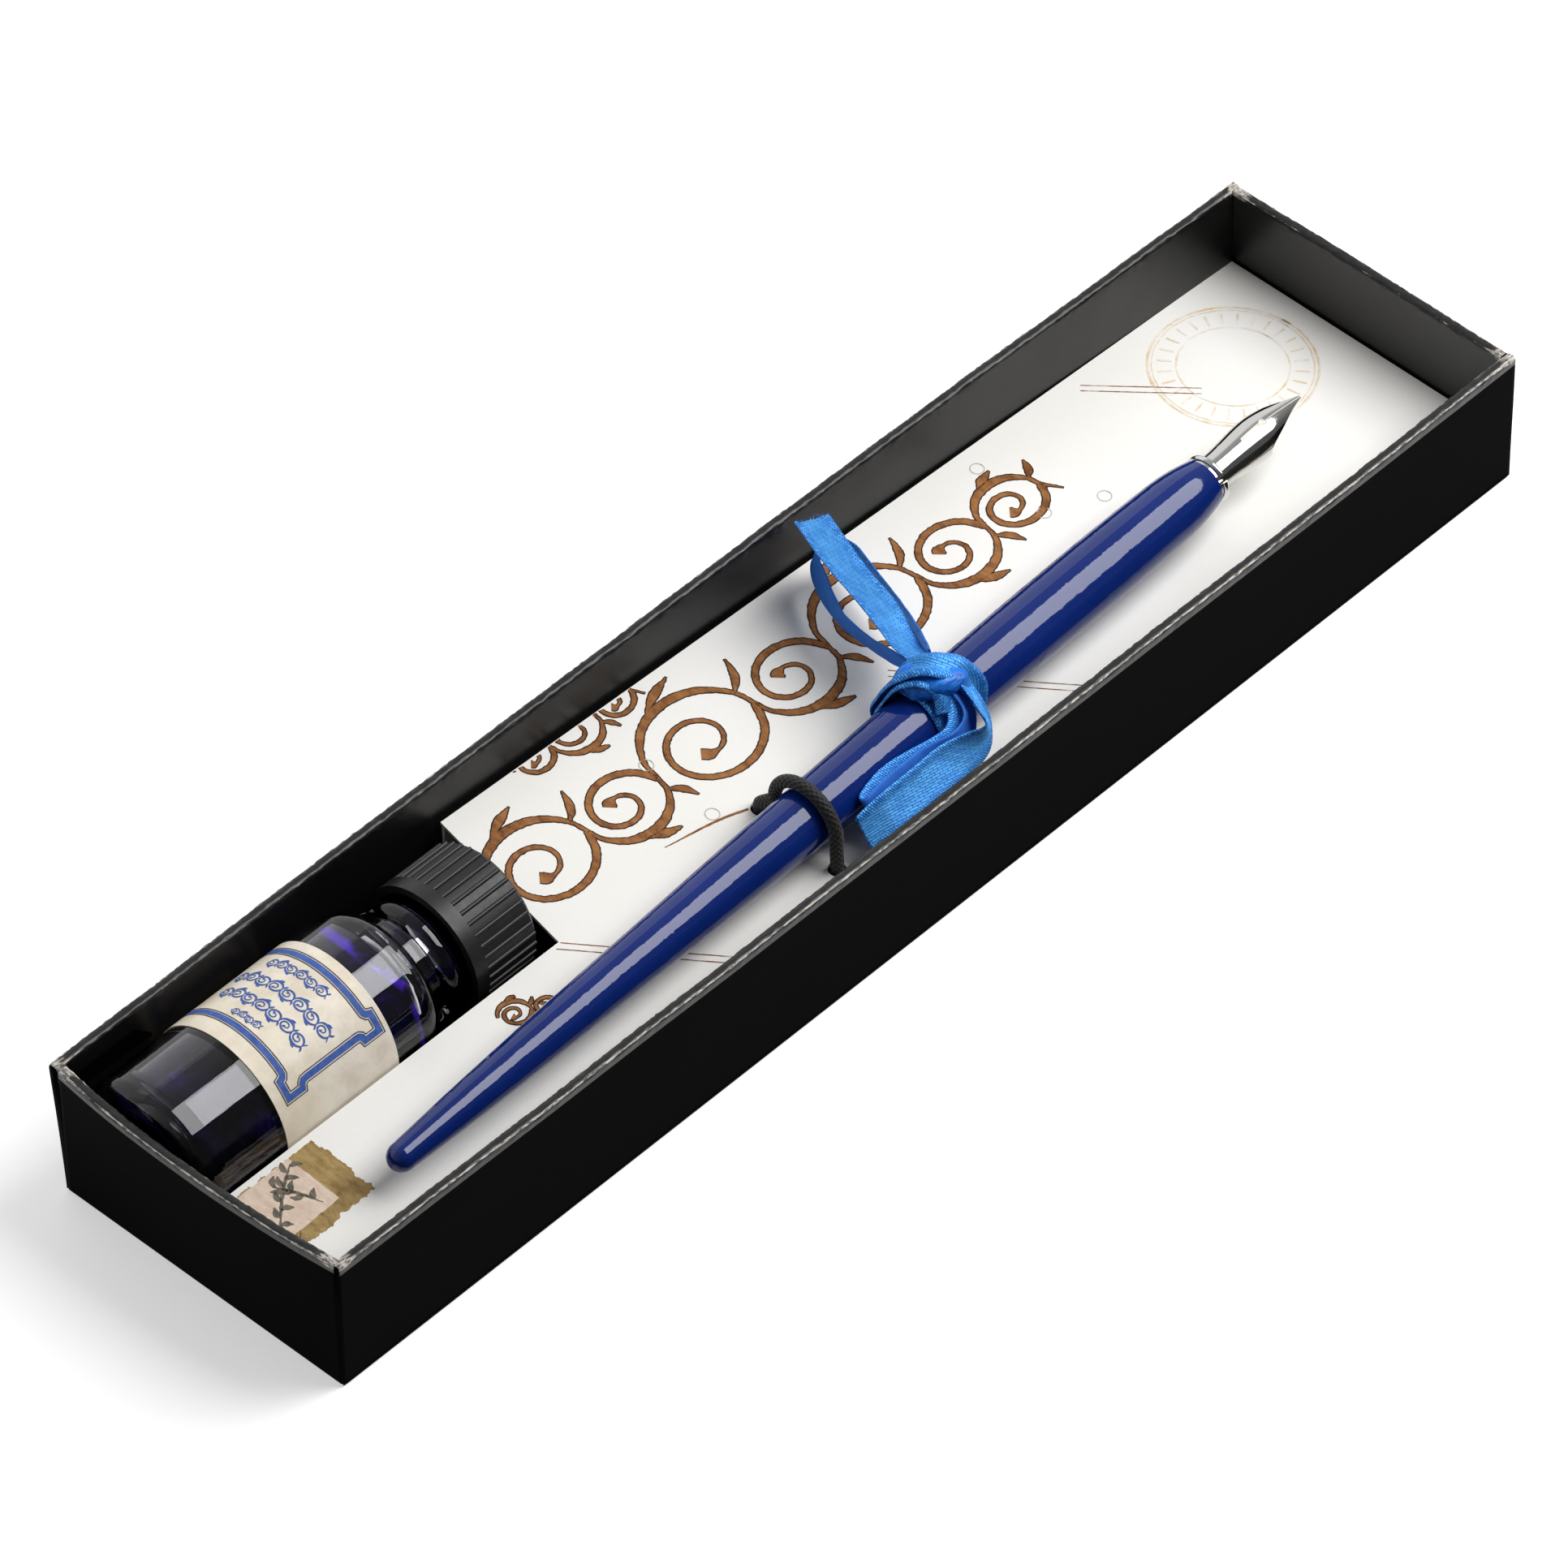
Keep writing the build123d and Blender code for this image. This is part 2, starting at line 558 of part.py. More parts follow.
def make_ribbons():
    """The bow. Its stretches are cut short just outside the knot that holds them."""
    make_ribbon_band()
    make_ribbon_knot()
    # the cut end that rises towards the far wall, tilted about its length
    make_ribbon("ribbon_tail_left", [
        ((12.7, -4.8, 21.4), (15.0, -4.9, 20.5)), ((12.6, -2.4, 21.8), (16.8, -2.6, 19.7)),
        ((14.2, 3.6, 22.6), (19.1, 3.0, 20.4)), ((16.6, 13.2, 23.3), (21.7, 12.8, 21.5)),
        ((18.7, 19.0, 23.4), (23.8, 18.4, 21.5))])
    # the bow's left loop, standing on edge under that end
    make_ribbon("ribbon_loop_left", [
        ((12.7, -4.7, 20.7), (13.2, -4.0, 18.6)), ((12.7, -1.6, 20.2), (14.1, -0.2, 16.6)),
        ((14.1, 6.4, 19.6), (15.6, 8.3, 15.2)), ((17.6, 12.9, 19.4), (18.2, 15.2, 15.0)),
        ((21.2, 17.2, 19.4), (22.2, 18.9, 14.9)), ((23.6, 14.2, 19.6), (24.0, 15.0, 14.7)),
        ((21.6, 8.2, 19.9), (22.2, 8.8, 15.1)), ((18.8, 0.2, 19.8), (19.6, 0.8, 16.0)),
        ((17.2, -4.4, 20.2), (17.5, -4.2, 18.4))])
    # the bow's right loop, turned back along the pen
    make_ribbon("ribbon_loop_right", [
        ((11.6, -11.6, 19.0), (13.4, -11.9, 18.8)), ((10.4, -13.3, 17.7), (12.6, -14.0, 15.2)),
        ((4.1, -12.6, 17.4), (5.2, -14.8, 12.3)), ((-0.8, -12.2, 17.1), (-0.2, -14.8, 12.2)),
        ((-3.6, -12.5, 16.7), (-3.3, -14.9, 11.9)), ((-4.4, -13.0, 16.5), (-4.1, -15.4, 11.8)),
        ((-4.3, -13.7, 16.5), (-4.0, -16.1, 11.8)), ((-3.3, -14.1, 16.6), (-3.0, -16.5, 11.8)),
        ((-0.4, -13.8, 17.0), (0.3, -16.3, 12.2)),
        ((5.3, -13.7, 17.5), (6.4, -16.1, 12.7)), ((11.2, -14.6, 17.9), (13.2, -14.9, 14.9)),
        ((13.2, -12.6, 19.5), (15.3, -12.2, 18.5))])
    # the other cut end, outside that loop
    make_ribbon("ribbon_tail_right", [
        ((14.0, -12.2, 20.3), (16.3, -11.9, 18.9)), ((13.7, -15.4, 19.1), (16.7, -14.4, 16.2)),
        ((12.6, -16.9, 17.9), (14.6, -16.8, 13.0)), ((7.6, -15.3, 17.3), (8.6, -17.8, 12.4)),
        ((-1.2, -15.0, 16.6), (-0.6, -17.8, 11.9)), ((-6.3, -14.8, 15.6), (-5.9, -17.3, 11.0))])


def main():
    os.makedirs("parts", exist_ok=True)
    make_floor()
    make_side_wall("wall_bottle_side", 1)
    make_side_wall("wall_pen_side", -1)
    make_end_wall("wall_tail_end", -1)
    make_end_wall("wall_nib_end", 1)
    make_corner_tab("corner_tab_tail_bottle", -1, 1)
    make_corner_tab("corner_tab_tail_pen", -1, -1)
    make_corner_tab("corner_tab_nib_bottle", 1, 1)
    make_corner_tab("corner_tab_nib_pen", 1, -1)
    make_card()
    low = CARD_LOW_Z - CARD - FIT
    make_side_leg("insert_leg_pen_side", -CARD_HALF_WIDTH + CARD / 2, -CARD_HALF_LENGTH, (low, low))
    far_y = CARD_HALF_WIDTH - CARD / 2
    far_top = (card_height(WINDOW_END_HIGH_X, far_y) - CARD - 0.1, card_height(CARD_HALF_LENGTH, far_y) - CARD - 0.1)
    make_side_leg("insert_leg_bottle_side", far_y, WINDOW_END_HIGH_X, far_top)
    make_end_leg()
    make_elastic()
    make_barb("elastic_barb_far", *ELASTIC_FOOT_FAR)
    make_barb("elastic_barb_near", elastic_pen_y() - ELASTIC_BEND, ELASTIC_FOOT_NEAR_Z)
    make_bottle()
    make_ink()
    make_label()
    make_cap()
    make_liner()
    make_holder()
    make_sleeve()
    make_prongs()
    make_nib()
    make_ribbons()


main()
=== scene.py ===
"""Looks of the calligraphy set box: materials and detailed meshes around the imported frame.

Lengths in the functions below are millimetres in the row frame, and MM turns them into Blender's metres.
+X runs from the pen's tail to its nib, +Y points to the wall beside the bottle, +Z is up.
"""
from math import acos, atan2, cos, exp, pi, radians, sin, sqrt

import bpy
from mathutils import Matrix, Vector, noise
from mathutils.bvhtree import BVHTree


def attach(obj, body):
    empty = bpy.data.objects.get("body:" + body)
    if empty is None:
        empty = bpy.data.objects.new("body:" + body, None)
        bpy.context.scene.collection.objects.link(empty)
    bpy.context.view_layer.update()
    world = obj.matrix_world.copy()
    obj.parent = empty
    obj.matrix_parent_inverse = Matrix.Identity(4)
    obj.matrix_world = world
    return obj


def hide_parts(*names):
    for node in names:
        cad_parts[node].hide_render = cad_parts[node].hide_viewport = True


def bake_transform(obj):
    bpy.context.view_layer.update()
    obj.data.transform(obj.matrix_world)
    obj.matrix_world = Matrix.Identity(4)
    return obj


MM = 0.001
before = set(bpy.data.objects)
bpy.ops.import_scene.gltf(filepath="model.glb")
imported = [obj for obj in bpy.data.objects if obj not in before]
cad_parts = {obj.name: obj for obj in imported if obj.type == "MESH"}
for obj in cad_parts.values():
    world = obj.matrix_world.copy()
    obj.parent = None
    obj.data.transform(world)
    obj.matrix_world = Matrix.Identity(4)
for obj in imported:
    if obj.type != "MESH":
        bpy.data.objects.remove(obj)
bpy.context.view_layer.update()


# ---- helpers

def give(tree, socket, value):
    """Sets a socket's value, or links the socket that feeds it. A colour is (red, green, blue)."""
    if isinstance(value, bpy.types.NodeSocket):
        tree.links.new(value, socket)
    elif socket.type == "RGBA":
        socket.default_value = (*value, 1)
    else:
        socket.default_value = value


def add(tree, kind, inputs=None, **settings):
    """Adds a shader node. An input is a value or the socket that feeds it."""
    made = tree.nodes.new("ShaderNode" + kind)
    for key, value in settings.items():
        setattr(made, key, value)
    for key, value in (inputs or {}).items():
        give(tree, made.inputs[key], value)
    return made


def new_material(name):
    """A material and its node tree."""
    made = bpy.data.materials.new(name)
    made.use_nodes = True
    return made, made.node_tree


def shade(made, **sockets):
    """Sets or links the Principled shader's sockets, with underscores for the spaces in their names."""
    shader = made.node_tree.nodes["Principled BSDF"]
    for key, value in sockets.items():
        give(made.node_tree, shader.inputs[key.replace("_", " ")], value)
    return made


def place(tree):
    """Row-frame position in metres."""
    return add(tree, "TexCoord").outputs["Object"]


def speckle(tree, scale, detail=3, roughness=0.55, stretch=(1, 1, 1), where=None):
    """Noise between 0 and 1 over the row-frame position, or over another one, scaled along each axis."""
    if where is None:
        where = place(tree)
    scaled = add(tree, "Mapping", {"Vector": where, "Scale": stretch}).outputs["Vector"]
    return add(tree, "TexNoise", {"Vector": scaled, "Scale": scale, "Detail": detail,
                                  "Roughness": roughness}).outputs["Fac"]


def ramp(tree, factor, *stops):
    """Colour ramp through (position, colour) stops."""
    made = add(tree, "ValToRGB", {"Fac": factor})
    elements = made.color_ramp.elements
    while len(elements) < len(stops):
        elements.new(0.5)
    for element, (position, colour) in zip(elements, stops):
        element.position = position
        element.color = (*colour, 1)
    return made.outputs["Color"]


def spread(tree, value, low, high, to_low=0, to_high=1):
    """Maps value from low..high to to_low..to_high, clamped."""
    return add(tree, "MapRange", {"Value": value, "From Min": low, "From Max": high,
                                  "To Min": to_low, "To Max": to_high}).outputs["Result"]


def math(tree, operation, first, second):
    """Sum, difference, product or maximum of two values."""
    return add(tree, "Math", {0: first, 1: second}, operation=operation).outputs[0]


def times(tree, first, second):
    return math(tree, "MULTIPLY", first, second)


def mix(tree, factor, first, second):
    """Mix of two colours, which go to the node's sockets 6 and 7."""
    return add(tree, "Mix", {0: factor, 6: first, 7: second}, data_type="RGBA").outputs[2]


def bump(tree, height, strength, distance, base=None):
    """Normal bent by a height, on top of a base normal if there is one."""
    inputs = {"Height": height, "Strength": strength, "Distance": distance}
    if base is not None:
        inputs["Normal"] = base
    return add(tree, "Bump", inputs).outputs["Normal"]


def put(name, data, where=(0, 0, 0), axes=((1, 0, 0), (0, 1, 0), (0, 0, 1))):
    """New object in the scene at a place, with its own three axes."""
    made = bpy.data.objects.new(name, data)
    bpy.context.scene.collection.objects.link(made)
    made.matrix_world = Matrix.Translation(where) @ Matrix(axes).transposed().to_4x4()
    return made


def make_piece(name, points, faces, material, body, smooth=True, replaces=()):
    """Mesh piece from points in millimetres, riding on a body, or on none."""
    mesh = bpy.data.meshes.new(name)
    mesh.from_pydata([Vector(p) * MM for p in points], [], faces)
    mesh.polygons.foreach_set("use_smooth", [smooth] * len(mesh.polygons))
    mesh.materials.append(material)
    mesh.update()
    piece = put(name, mesh)
    if body:
        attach(piece, body)
    if replaces:
        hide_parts(*replaces)
    return piece


def tube_faces(rows, columns, first=0):
    """Quads between closed rows of points."""
    faces = []
    for r in range(rows - 1):
        for c in range(columns):
            a = first + r * columns + c
            b = first + r * columns + (c + 1) % columns
            faces.append((a, b, b + columns, a + columns))
    return faces


def capped_tube(rows, columns):
    """The same with a face over each end."""
    last = (rows - 1) * columns
    return tube_faces(rows, columns) + [tuple(range(columns))[::-1], tuple(range(last, last + columns))]


def grain(x, y, z, seed):
    """Smooth noise between about -1 and 1."""
    return noise.noise(Vector((x + 31.7 * seed, y - 17.3 * seed, z + 5.1 * seed)))


def ease(value, low, high):
    """Smooth step from 0 at low to 1 at high."""
    t = min(max((value - low) / (high - low), 0), 1)
    return t * t * (3 - 2 * t)


def set_values(mesh, name, values):
    """Gives each point of a mesh a value that its material reads."""
    mesh.attributes.new(name, "FLOAT", "POINT").data.foreach_set("value", values)


def dense_outline(corners, step):
    """Points about every step along a closed outline, each with the outward normal of its side."""
    dense = []
    for (x0, y0), (x1, y1) in zip(corners, corners[1:] + corners[:1]):
        dx, dy = x1 - x0, y1 - y0
        size = sqrt(dx ** 2 + dy ** 2)
        count = max(1, int(size / step))
        dense += [(x0 + dx * k / count, y0 + dy * k / count, dy / size, -dx / size) for k in range(count)]
    return dense


def heading_at(path, i):
    """Unit direction of a path of vectors at its point i."""
    return (path[min(i + 1, len(path) - 1)] - path[max(i - 1, 0)]).normalized()


def smooth_path(points, step):
    """Catmull-Rom curve through points of any dimension, sampled about every step millimetres."""
    ends = [[2 * a - b for a, b in zip(points[0], points[1])],
            [2 * a - b for a, b in zip(points[-1], points[-2])]]
    whole = [ends[0], *points, ends[1]]
    sampled = []
    for i in range(1, len(whole) - 2):
        p0, p1, p2, p3 = whole[i - 1:i + 3]
        span = sqrt(sum((a - b) ** 2 for a, b in zip(p1[:3], p2[:3])))
        count = max(2, int(span / step))
        for k in range(count):
            t = k / count
            sampled.append([0.5 * (2 * b + (c - a) * t + (2 * a - 5 * b + 4 * c - d) * t * t
                                   + (3 * b - a - 3 * c + d) * t ** 3)
                            for a, b, c, d in zip(p0, p1, p2, p3)])
    sampled.append(list(points[-1]))
    return sampled


# ---- materials

CARD_TONE = (0.87, 0.855, 0.815)
SATIN_SHINE = (0.62, 0.86, 1)


def board_painted_shade_material():
    """Darker, nearly unreflective copy of the black board for faces away from the light: painted shade."""
    made, tree = new_material("black_board_painted_shade")
    pores = speckle(tree, 2600, 2)
    return shade(made, Base_Color=(0.0013, 0.0012, 0.0012), Roughness=0.6, Specular_IOR_Level=0.01,
                 Normal=bump(tree, pores, 0.06, 0.00005))


def board_material(name, stretch):
    """Black film-laminated board, worn to paper fibres where the mesh's wear attribute is high."""
    made, tree = new_material(name)
    waves = bump(tree, speckle(tree, 45, 2), 0.35, 0.0012)
    wear = add(tree, "Attribute", attribute_name="wear").outputs["Fac"]
    streaks = speckle(tree, 3600, 4, 0.7, stretch)
    gaps = speckle(tree, 420, 3, 0.6)
    doubt = math(tree, "ADD", times(tree, streaks, 0.65), times(tree, gaps, 0.5))
    shown = spread(tree, math(tree, "SUBTRACT", times(tree, wear, 1.1), doubt), 0.02, 0.17)
    fibre = ramp(tree, speckle(tree, 4200, stretch=stretch), (0.38, (0.1, 0.09, 0.08)),
                 (0.58, (0.62, 0.58, 0.52)))
    return shade(made, Base_Color=mix(tree, shown, (0.0032, 0.003, 0.0029), fibre),
                 Roughness=spread(tree, shown, 0, 1, 0.36, 0.8), Specular_IOR_Level=0.5,
                 Normal=bump(tree, streaks, 0.35, 0.00005, waves))


def card_material():
    """Cream uncoated card with a fine fibre grain."""
    made, tree = new_material("cream_card")
    fibres = speckle(tree, 1400, 4, 0.6, (1, 2.5, 1))
    clouds = speckle(tree, 35)
    tone = ramp(tree, clouds, (0.35, (0.86, 0.845, 0.8)), (0.65, (0.885, 0.875, 0.845)))
    tone = mix(tree, spread(tree, fibres, 0.35, 0.75, 0, 0.1), tone, (0.7, 0.66, 0.58))
    return shade(made, Base_Color=tone, Roughness=0.62, Specular_IOR_Level=0.25,
                 Normal=bump(tree, fibres, 0.25, 0.00006))


def ink_print(name, dark, light, scale=900):
    """Printed ink that varies a little in strength."""
    made, tree = new_material(name)
    streaks = speckle(tree, scale, 4, 0.7, (1, 0.45, 1))
    return shade(made, Base_Color=ramp(tree, streaks, (0.32, dark), (0.62, light)), Roughness=0.6,
                 Specular_IOR_Level=0.2)


def faded_print(name, ink, low, high):
    """Printed ink that has partly faded into the card."""
    made, tree = new_material(name)
    patches = speckle(tree, 420, 4, 0.65)
    return shade(made, Base_Color=mix(tree, spread(tree, patches, low, high), CARD_TONE, ink),
                 Roughness=0.6, Specular_IOR_Level=0.2)


def lacquer_material():
    """Deep gloss cobalt lacquer over turned wood."""
    made, tree = new_material("cobalt_lacquer")
    dust = speckle(tree, 700, 2)
    depths = speckle(tree, 60, 2)
    colour = ramp(tree, depths, (0.3, (0.0026, 0.017, 0.14)), (0.7, (0.005, 0.022, 0.18)))
    peel = speckle(tree, 1000, 2, stretch=(1, 1.6, 1.6))
    return shade(made, Base_Color=colour, Roughness=0.06, Specular_IOR_Level=0.5,
                 Normal=bump(tree, peel, 0.2, 0.00006, bump(tree, dust, 0.05, 0.00004)))


def steel_material(name, colour, roughness, lines):
    """Polished steel with faint lines along the pen."""
    made, tree = new_material(name)
    marks = speckle(tree, 4200, 2, stretch=(0.08, 1, 1))
    return shade(made, Base_Color=colour, Metallic=1,
                 Roughness=spread(tree, marks, 0.3, 0.7, roughness * 0.8, roughness * 1.25),
                 Normal=bump(tree, marks, lines, 0.00002))


def glass_material():
    """Moulded glass, slightly wavy, with a grey-blue tint that darkens the clear glass as painted shade."""
    made, tree = new_material("bottle_glass")
    waves = bump(tree, speckle(tree, 170, 1), 0.12, 0.0003)
    # The grey-blue tint is painted shade.
    return shade(made, Base_Color=(0.7, 0.7, 0.78), Roughness=0.012, Transmission_Weight=1, IOR=1.5,
                 Normal=bump(tree, speckle(tree, 620, 0), 0.06, 0.00012, waves))


def bottle_ink_material():
    """Blue-violet ink, nearly black, violet in random patches, with a painted violet highlight in a band at
    the shoulder.
    """
    made, tree = new_material("violet_ink")
    swirl = speckle(tree, 150, 3, 0.6)
    colour = ramp(tree, swirl, (0.44, (0.0012, 0.0008, 0.004)), (0.6, (0.01, 0.003, 0.045)),
                  (0.72, (0.045, 0.018, 0.22)))
    along = add(tree, "SeparateXYZ", {"Vector": place(tree)}).outputs["X"]
    # A band at the shoulder, broken into patches, is painted bright violet: a painted highlight.
    shoulder = times(tree, spread(tree, along, -0.0634, -0.0629), spread(tree, along, -0.0615, -0.0621))
    patches = spread(tree, speckle(tree, 260, 2), 0.42, 0.56)
    colour = mix(tree, times(tree, shoulder, patches), colour, (0.16, 0.04, 0.95))
    return shade(made, Base_Color=colour, Roughness=0.5, Specular_IOR_Level=0)


def cap_material():
    """Satin black plastic."""
    made, tree = new_material("black_cap_plastic")
    return shade(made, Base_Color=(0.0105, 0.0105, 0.0105), Specular_IOR_Level=0.45,
                 Roughness=spread(tree, speckle(tree, 900), 0.3, 0.7, 0.36, 0.46),
                 Normal=bump(tree, speckle(tree, 3800), 0.25, 0.00004))


def label_material():
    """Cream paper with a mottled tone."""
    made, tree = new_material("label_paper")
    mottle = speckle(tree, 260, 5, 0.65)
    warm = speckle(tree, 90)
    tone = ramp(tree, mottle, (0.35, (0.74, 0.65, 0.52)), (0.62, (0.88, 0.81, 0.69)))
    tone = mix(tree, spread(tree, warm, 0.5, 0.75, 0, 0.4), tone, (0.78, 0.66, 0.42))
    return shade(made, Base_Color=tone, Roughness=0.42, Specular_IOR_Level=0.4)


def elastic_material():
    """Black textile yarn."""
    made, tree = new_material("black_elastic")
    return shade(made, Base_Color=(0.0085, 0.0085, 0.0088), Roughness=0.62, Sheen_Weight=0.25,
                 Sheen_Roughness=0.5, Specular_IOR_Level=0.35,
                 Normal=bump(tree, speckle(tree, 5000), 0.4, 0.00004))


def threads(tree, flat, degrees, length, pitch, gap, grey):
    """Rows of threads turned by degrees, each length by pitch, between grey and white with black gaps."""
    turned = add(tree, "Mapping", {"Vector": flat, "Rotation": (0, 0, radians(degrees))}).outputs["Vector"]
    return add(tree, "TexBrick", {"Vector": turned, "Scale": 1, "Mortar Size": gap, "Mortar Smooth": 1,
                                  "Brick Width": length, "Row Height": pitch, "Color1": (grey, grey, grey),
                                  "Color2": (1, 1, 1), "Mortar": (0, 0, 0)}).outputs["Color"]


def ribbon_material():
    """Azure satin, with a darker back face that is partly painted shade. The u coordinate runs along the
    ribbon and v across it, both in millimetres.
    """
    made, tree = new_material("azure_satin")
    flat = add(tree, "UVMap").outputs["UV"]
    floats = threads(tree, flat, 12, 1.3, 0.34, 0.075, 0.55)
    knit = threads(tree, flat, 62, 0.62, 0.3, 0.1, 0.35)
    edge = add(tree, "Attribute", attribute_name="selvedge").outputs["Fac"]
    face = add(tree, "Attribute", attribute_name="shiny_face").outputs["Fac"]
    weave = mix(tree, edge, floats, knit)
    weave = mix(tree, face, (0.6, 0.6, 0.6), weave)
    drift = speckle(tree, 1, 2, stretch=(0.5, 0.35, 1), where=flat)
    tone = ramp(tree, weave, (0.1, (0.006, 0.12, 0.52)), (0.85, (0.12, 0.5, 1)))
    tone = mix(tree, spread(tree, drift, 0.35, 0.7, 0, 0.35), tone, (0.008, 0.15, 0.62))
    # The back face is darker blue: partly the duller back of single-face satin, partly painted shade for
    # strands in shadow.
    back = times(tree, math(tree, "SUBTRACT", 1, face), 0.75)
    tone = mix(tree, back, tone, (0.003, 0.085, 0.52))
    tangent = add(tree, "Tangent", direction_type="UV_MAP", uv_map="UVMap").outputs["Tangent"]
    return shade(made, Base_Color=tone, Roughness=spread(tree, face, 0, 1, 0.6, 0.47), Metallic=0.45,
                 Specular_IOR_Level=0.75, Specular_Tint=SATIN_SHINE, Anisotropic=0.8,
                 Anisotropic_Rotation=0.25, Tangent=tangent, Normal=bump(tree, weave, 0.55, 0.00009))


def bunched_ribbon_material():
    """The same satin gathered into folds, darker in the fold hollows: painted shade."""
    made, tree = new_material("azure_satin_folds")
    folds = speckle(tree, 260, 2, stretch=(1, 3, 3))
    ribs = speckle(tree, 1500, 2, stretch=(4, 1, 1))
    # Colour follows the fold height: painted shade in the hollows.
    tone = ramp(tree, folds, (0.3, (0.003, 0.07, 0.42)), (0.65, (0.012, 0.2, 0.78)))
    return shade(made, Base_Color=tone, Roughness=0.36, Specular_IOR_Level=0.7, Specular_Tint=SATIN_SHINE,
                 Normal=bump(tree, ribs, 0.5, 0.00006, bump(tree, folds, 0.8, 0.0006)))


def plain_material(name, colour, roughness):
    """Plain moulded or foamed plastic with a faint texture."""
    made, tree = new_material(name)
    return shade(made, Base_Color=colour, Roughness=roughness,
                 Normal=bump(tree, speckle(tree, 1800), 0.2, 0.00005))


board_long = board_material("black_board", (0.3, 1, 1))
board_end = board_material("black_board_ends", (1, 0.3, 1))
board_painted_shade = board_painted_shade_material()
card = card_material()
brown_ink = ink_print("brown_print", (0.155, 0.05, 0.012), (0.36, 0.155, 0.048))
dark_ink = ink_print("dark_print", (0.018, 0.009, 0.006), (0.06, 0.024, 0.012))
thin_ink = faded_print("thin_print", (0.24, 0.1, 0.045), 0.22, 0.5)
ochre_ink = faded_print("ochre_print", (0.72, 0.5, 0.23), 0.34, 0.72)
scrap_ink = ink_print("ochre_scrap", (0.2, 0.12, 0.035), (0.42, 0.29, 0.115), 700)
rosy_ink = ink_print("rosy_scrap", (0.62, 0.46, 0.36), (0.76, 0.62, 0.5), 1200)
sprig_ink = ink_print("sprig_print", (0.055, 0.075, 0.055), (0.22, 0.17, 0.13), 1400)
# Grey for the die-cut rings: painted shade in the cuts.
die_cut_shade = plain_material("die_cut_painted_shade", (0.5, 0.48, 0.43), 0.7)
lacquer = lacquer_material()
polished = steel_material("polished_steel", (0.66, 0.655, 0.64), 0.085, 0.1)
plated = steel_material("plated_steel", (0.74, 0.735, 0.72), 0.12, 0.05)
glass = glass_material()
bottle_ink = bottle_ink_material()
cap_black = cap_material()
paper = label_material()
label_blue = ink_print("label_blue", (0.035, 0.085, 0.33), (0.075, 0.15, 0.45), 1500)
label_dark = ink_print("label_dark", (0.01, 0.012, 0.035), (0.035, 0.035, 0.085), 1500)
elastic_black = elastic_material()
satin = ribbon_material()
satin_bunched = bunched_ribbon_material()
foam = plain_material("liner_foam", (0.8, 0.8, 0.78), 0.7)
barb_plastic = plain_material("barb_plastic", (0.012, 0.012, 0.013), 0.4)


# ---- tray

TRAY_HALF_LENGTH = 100
TRAY_HALF_WIDTH = 23
TRAY_HEIGHT = 20
WALL = 1.4
FOOT_IN = 0.5  # how far the walls lean in at the floor
WALL_STEP = 0.4
OUTER_HEIGHTS = (0, 0.25, 1, 3, 6, 9, 12, 15, 17, 18.2, 18.8)
INNER_HEIGHTS = (18.8, 18.2, 17, 15, 12, 9, 6, 3, 0.5)
RIM_ROUNDS = 16  # steps over the rolled rim
RIM_RISE = 0.62
RIM_SQUARENESS = 0.72  # 1 is a half round, and less is squarer


def rim_bow(side, x):
    """How far a long rim stands out of the straight wall at x."""
    if side > 0:
        return 1.15 * (1 - ((x + 28) / 150) ** 2) - 0.35 * ease(x, 40, 100)
    return 0.22 * (1 - (x / 100) ** 2)


def end_bow(end, y):
    """How far a short rim stands out of the straight wall at y."""
    share = 1 - (y / TRAY_HALF_WIDTH) ** 2
    return (1.45 if end < 0 else 0.15) * share


def wall_profile():
    """Points up the outer face, over the rolled rim and down the inner face: (depth, height, wear)."""
    rim = []
    for k in range(RIM_ROUNDS + 1):
        angle = pi * k / RIM_ROUNDS
        side = 1 if cos(angle) > 0 else -1
        depth = WALL / 2 - WALL / 2 * abs(cos(angle)) ** RIM_SQUARENESS * side
        height = TRAY_HEIGHT - RIM_RISE + RIM_RISE * sin(angle) ** RIM_SQUARENESS
        rim.append((depth, height, 1))
    return [(0, z, 0) for z in OUTER_HEIGHTS] + rim + [(WALL, z, 0) for z in INNER_HEIGHTS]


def rim_wear(depth, height):
    """Wear follows the rim's two folds, the outer one most."""
    if height < TRAY_HEIGHT - 1.6:
        return 0
    outer = exp(-((depth - 0.2) / 0.15) ** 2)
    inner = 0.62 * exp(-((depth - (WALL - 0.16)) / 0.12) ** 2)
    return max(outer, inner, 0.34) * ease(height, TRAY_HEIGHT - 1, TRAY_HEIGHT - 0.5)


